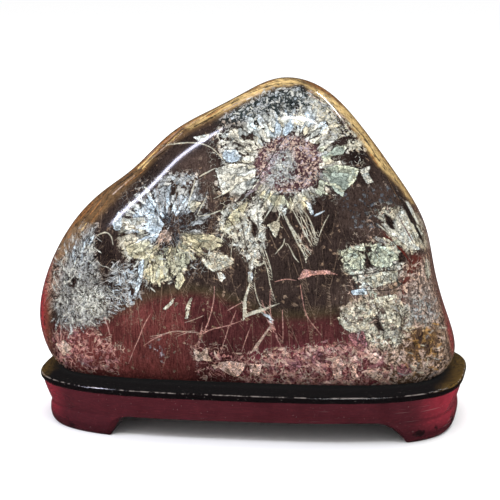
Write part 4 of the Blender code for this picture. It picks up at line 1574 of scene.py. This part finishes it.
def makeFloor():
    size = floorFinish["size"]
    corners = np.array([(-size, -size, 0), (size, -size, 0), (size, size, 0), (-size, size, 0)])
    floor = meshPiece("paleFloor", corners, [[0, 1, 2, 3]])
    material, shader = newMaterial("paleFloor", Roughness=floorFinish["roughness"])[:2]
    shader.inputs["Base Color"].default_value = floorFinish["colour"]
    shader.inputs["Specular IOR Level"].default_value = floorFinish["specular"]
    floor.data.materials.append(material)
    floor.visible_glossy = False    # the polish mirrors dark surroundings, as in the picture
    print("floor laid")


lights = {
    # From the point that they aim at: azimuth and rise in degrees, and distance; then width and height,
    # power, colour, turn in its own plane, and whether the polish mirrors it.
    "key": (-35, 42, 2.6, 1.6, 1.2, 16.0, (1.0, 0.98, 0.96), 0, False),
    "shoulder": (-60, 40, 2.0, 0.13, 0.85, 13.0, (0.80, 0.80, 1.0), 8, True),
    "crown": (19, 52, 2.0, 0.85, 0.06, 10.0, (0.95, 0.97, 1.0), 0, True),
    "behind": (165, 40, 2.4, 1.6, 1.2, 12.0, (1.0, 0.99, 0.97), 0, False),
    "behindStreak": (140, 44, 2.0, 0.7, 0.08, 9.0, (0.95, 0.97, 1.0), 20, True),
}
lightsAim = (0.0, 0.0, 0.15)


def makeLights():
    aim = np.array(lightsAim)
    for name, (azimuth, rise, distance, width, height, power, colour, spin, mirrored) in lights.items():
        data = bpy.data.lights.new(name, "AREA")
        data.shape = "RECTANGLE"
        data.size = width
        data.size_y = height
        data.energy = power
        data.color = colour
        lamp = bpy.data.objects.new(name, data)
        lamp.visible_glossy = mirrored
        level, over, back = sheetAxes(azimuth, rise)
        spin = math.radians(spin)
        right = math.cos(spin) * level + math.sin(spin) * over
        lamp.matrix_world = axesMatrix(right, np.cross(back, right), back, aim + distance * back)
        bpy.context.scene.collection.objects.link(lamp)
    print("lights placed")


world = {"seen": 1.0, "lit": 1.0, "mirrored": 0.03}


def makeWorld():
    # One strength for what the camera sees, one for soft light, and a low one in the polish.
    sky = bpy.data.worlds.new("softSurround")
    sky.use_nodes = True
    tree = sky.node_tree
    background = tree.nodes["Background"]
    wire = Wire(tree)
    seen = wire.node("ShaderNodeLightPath", {}, {}, "Is Camera Ray")
    mirrored = wire.node("ShaderNodeLightPath", {}, {}, "Is Glossy Ray")
    strength = (world["lit"] + seen * (world["seen"] - world["lit"])
                + mirrored * (world["mirrored"] - world["lit"]))
    feed(strength, background, "Strength")
    background.inputs["Color"].default_value = (1.0, 1.0, 1.0, 1.0)
    bpy.context.scene.world = sky
    bpy.context.scene.view_settings.view_transform = "Standard"
    print("world lit")


stone, stonePoint, stoneFaces = makeStone()
stand = makeStand(stonePoint, stoneFaces)
makeFloor()
makeLights()
makeWorld()

for piece, node in ((stone, "stone"), (stand, "stand")):
    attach(piece, "root")
    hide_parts(node)
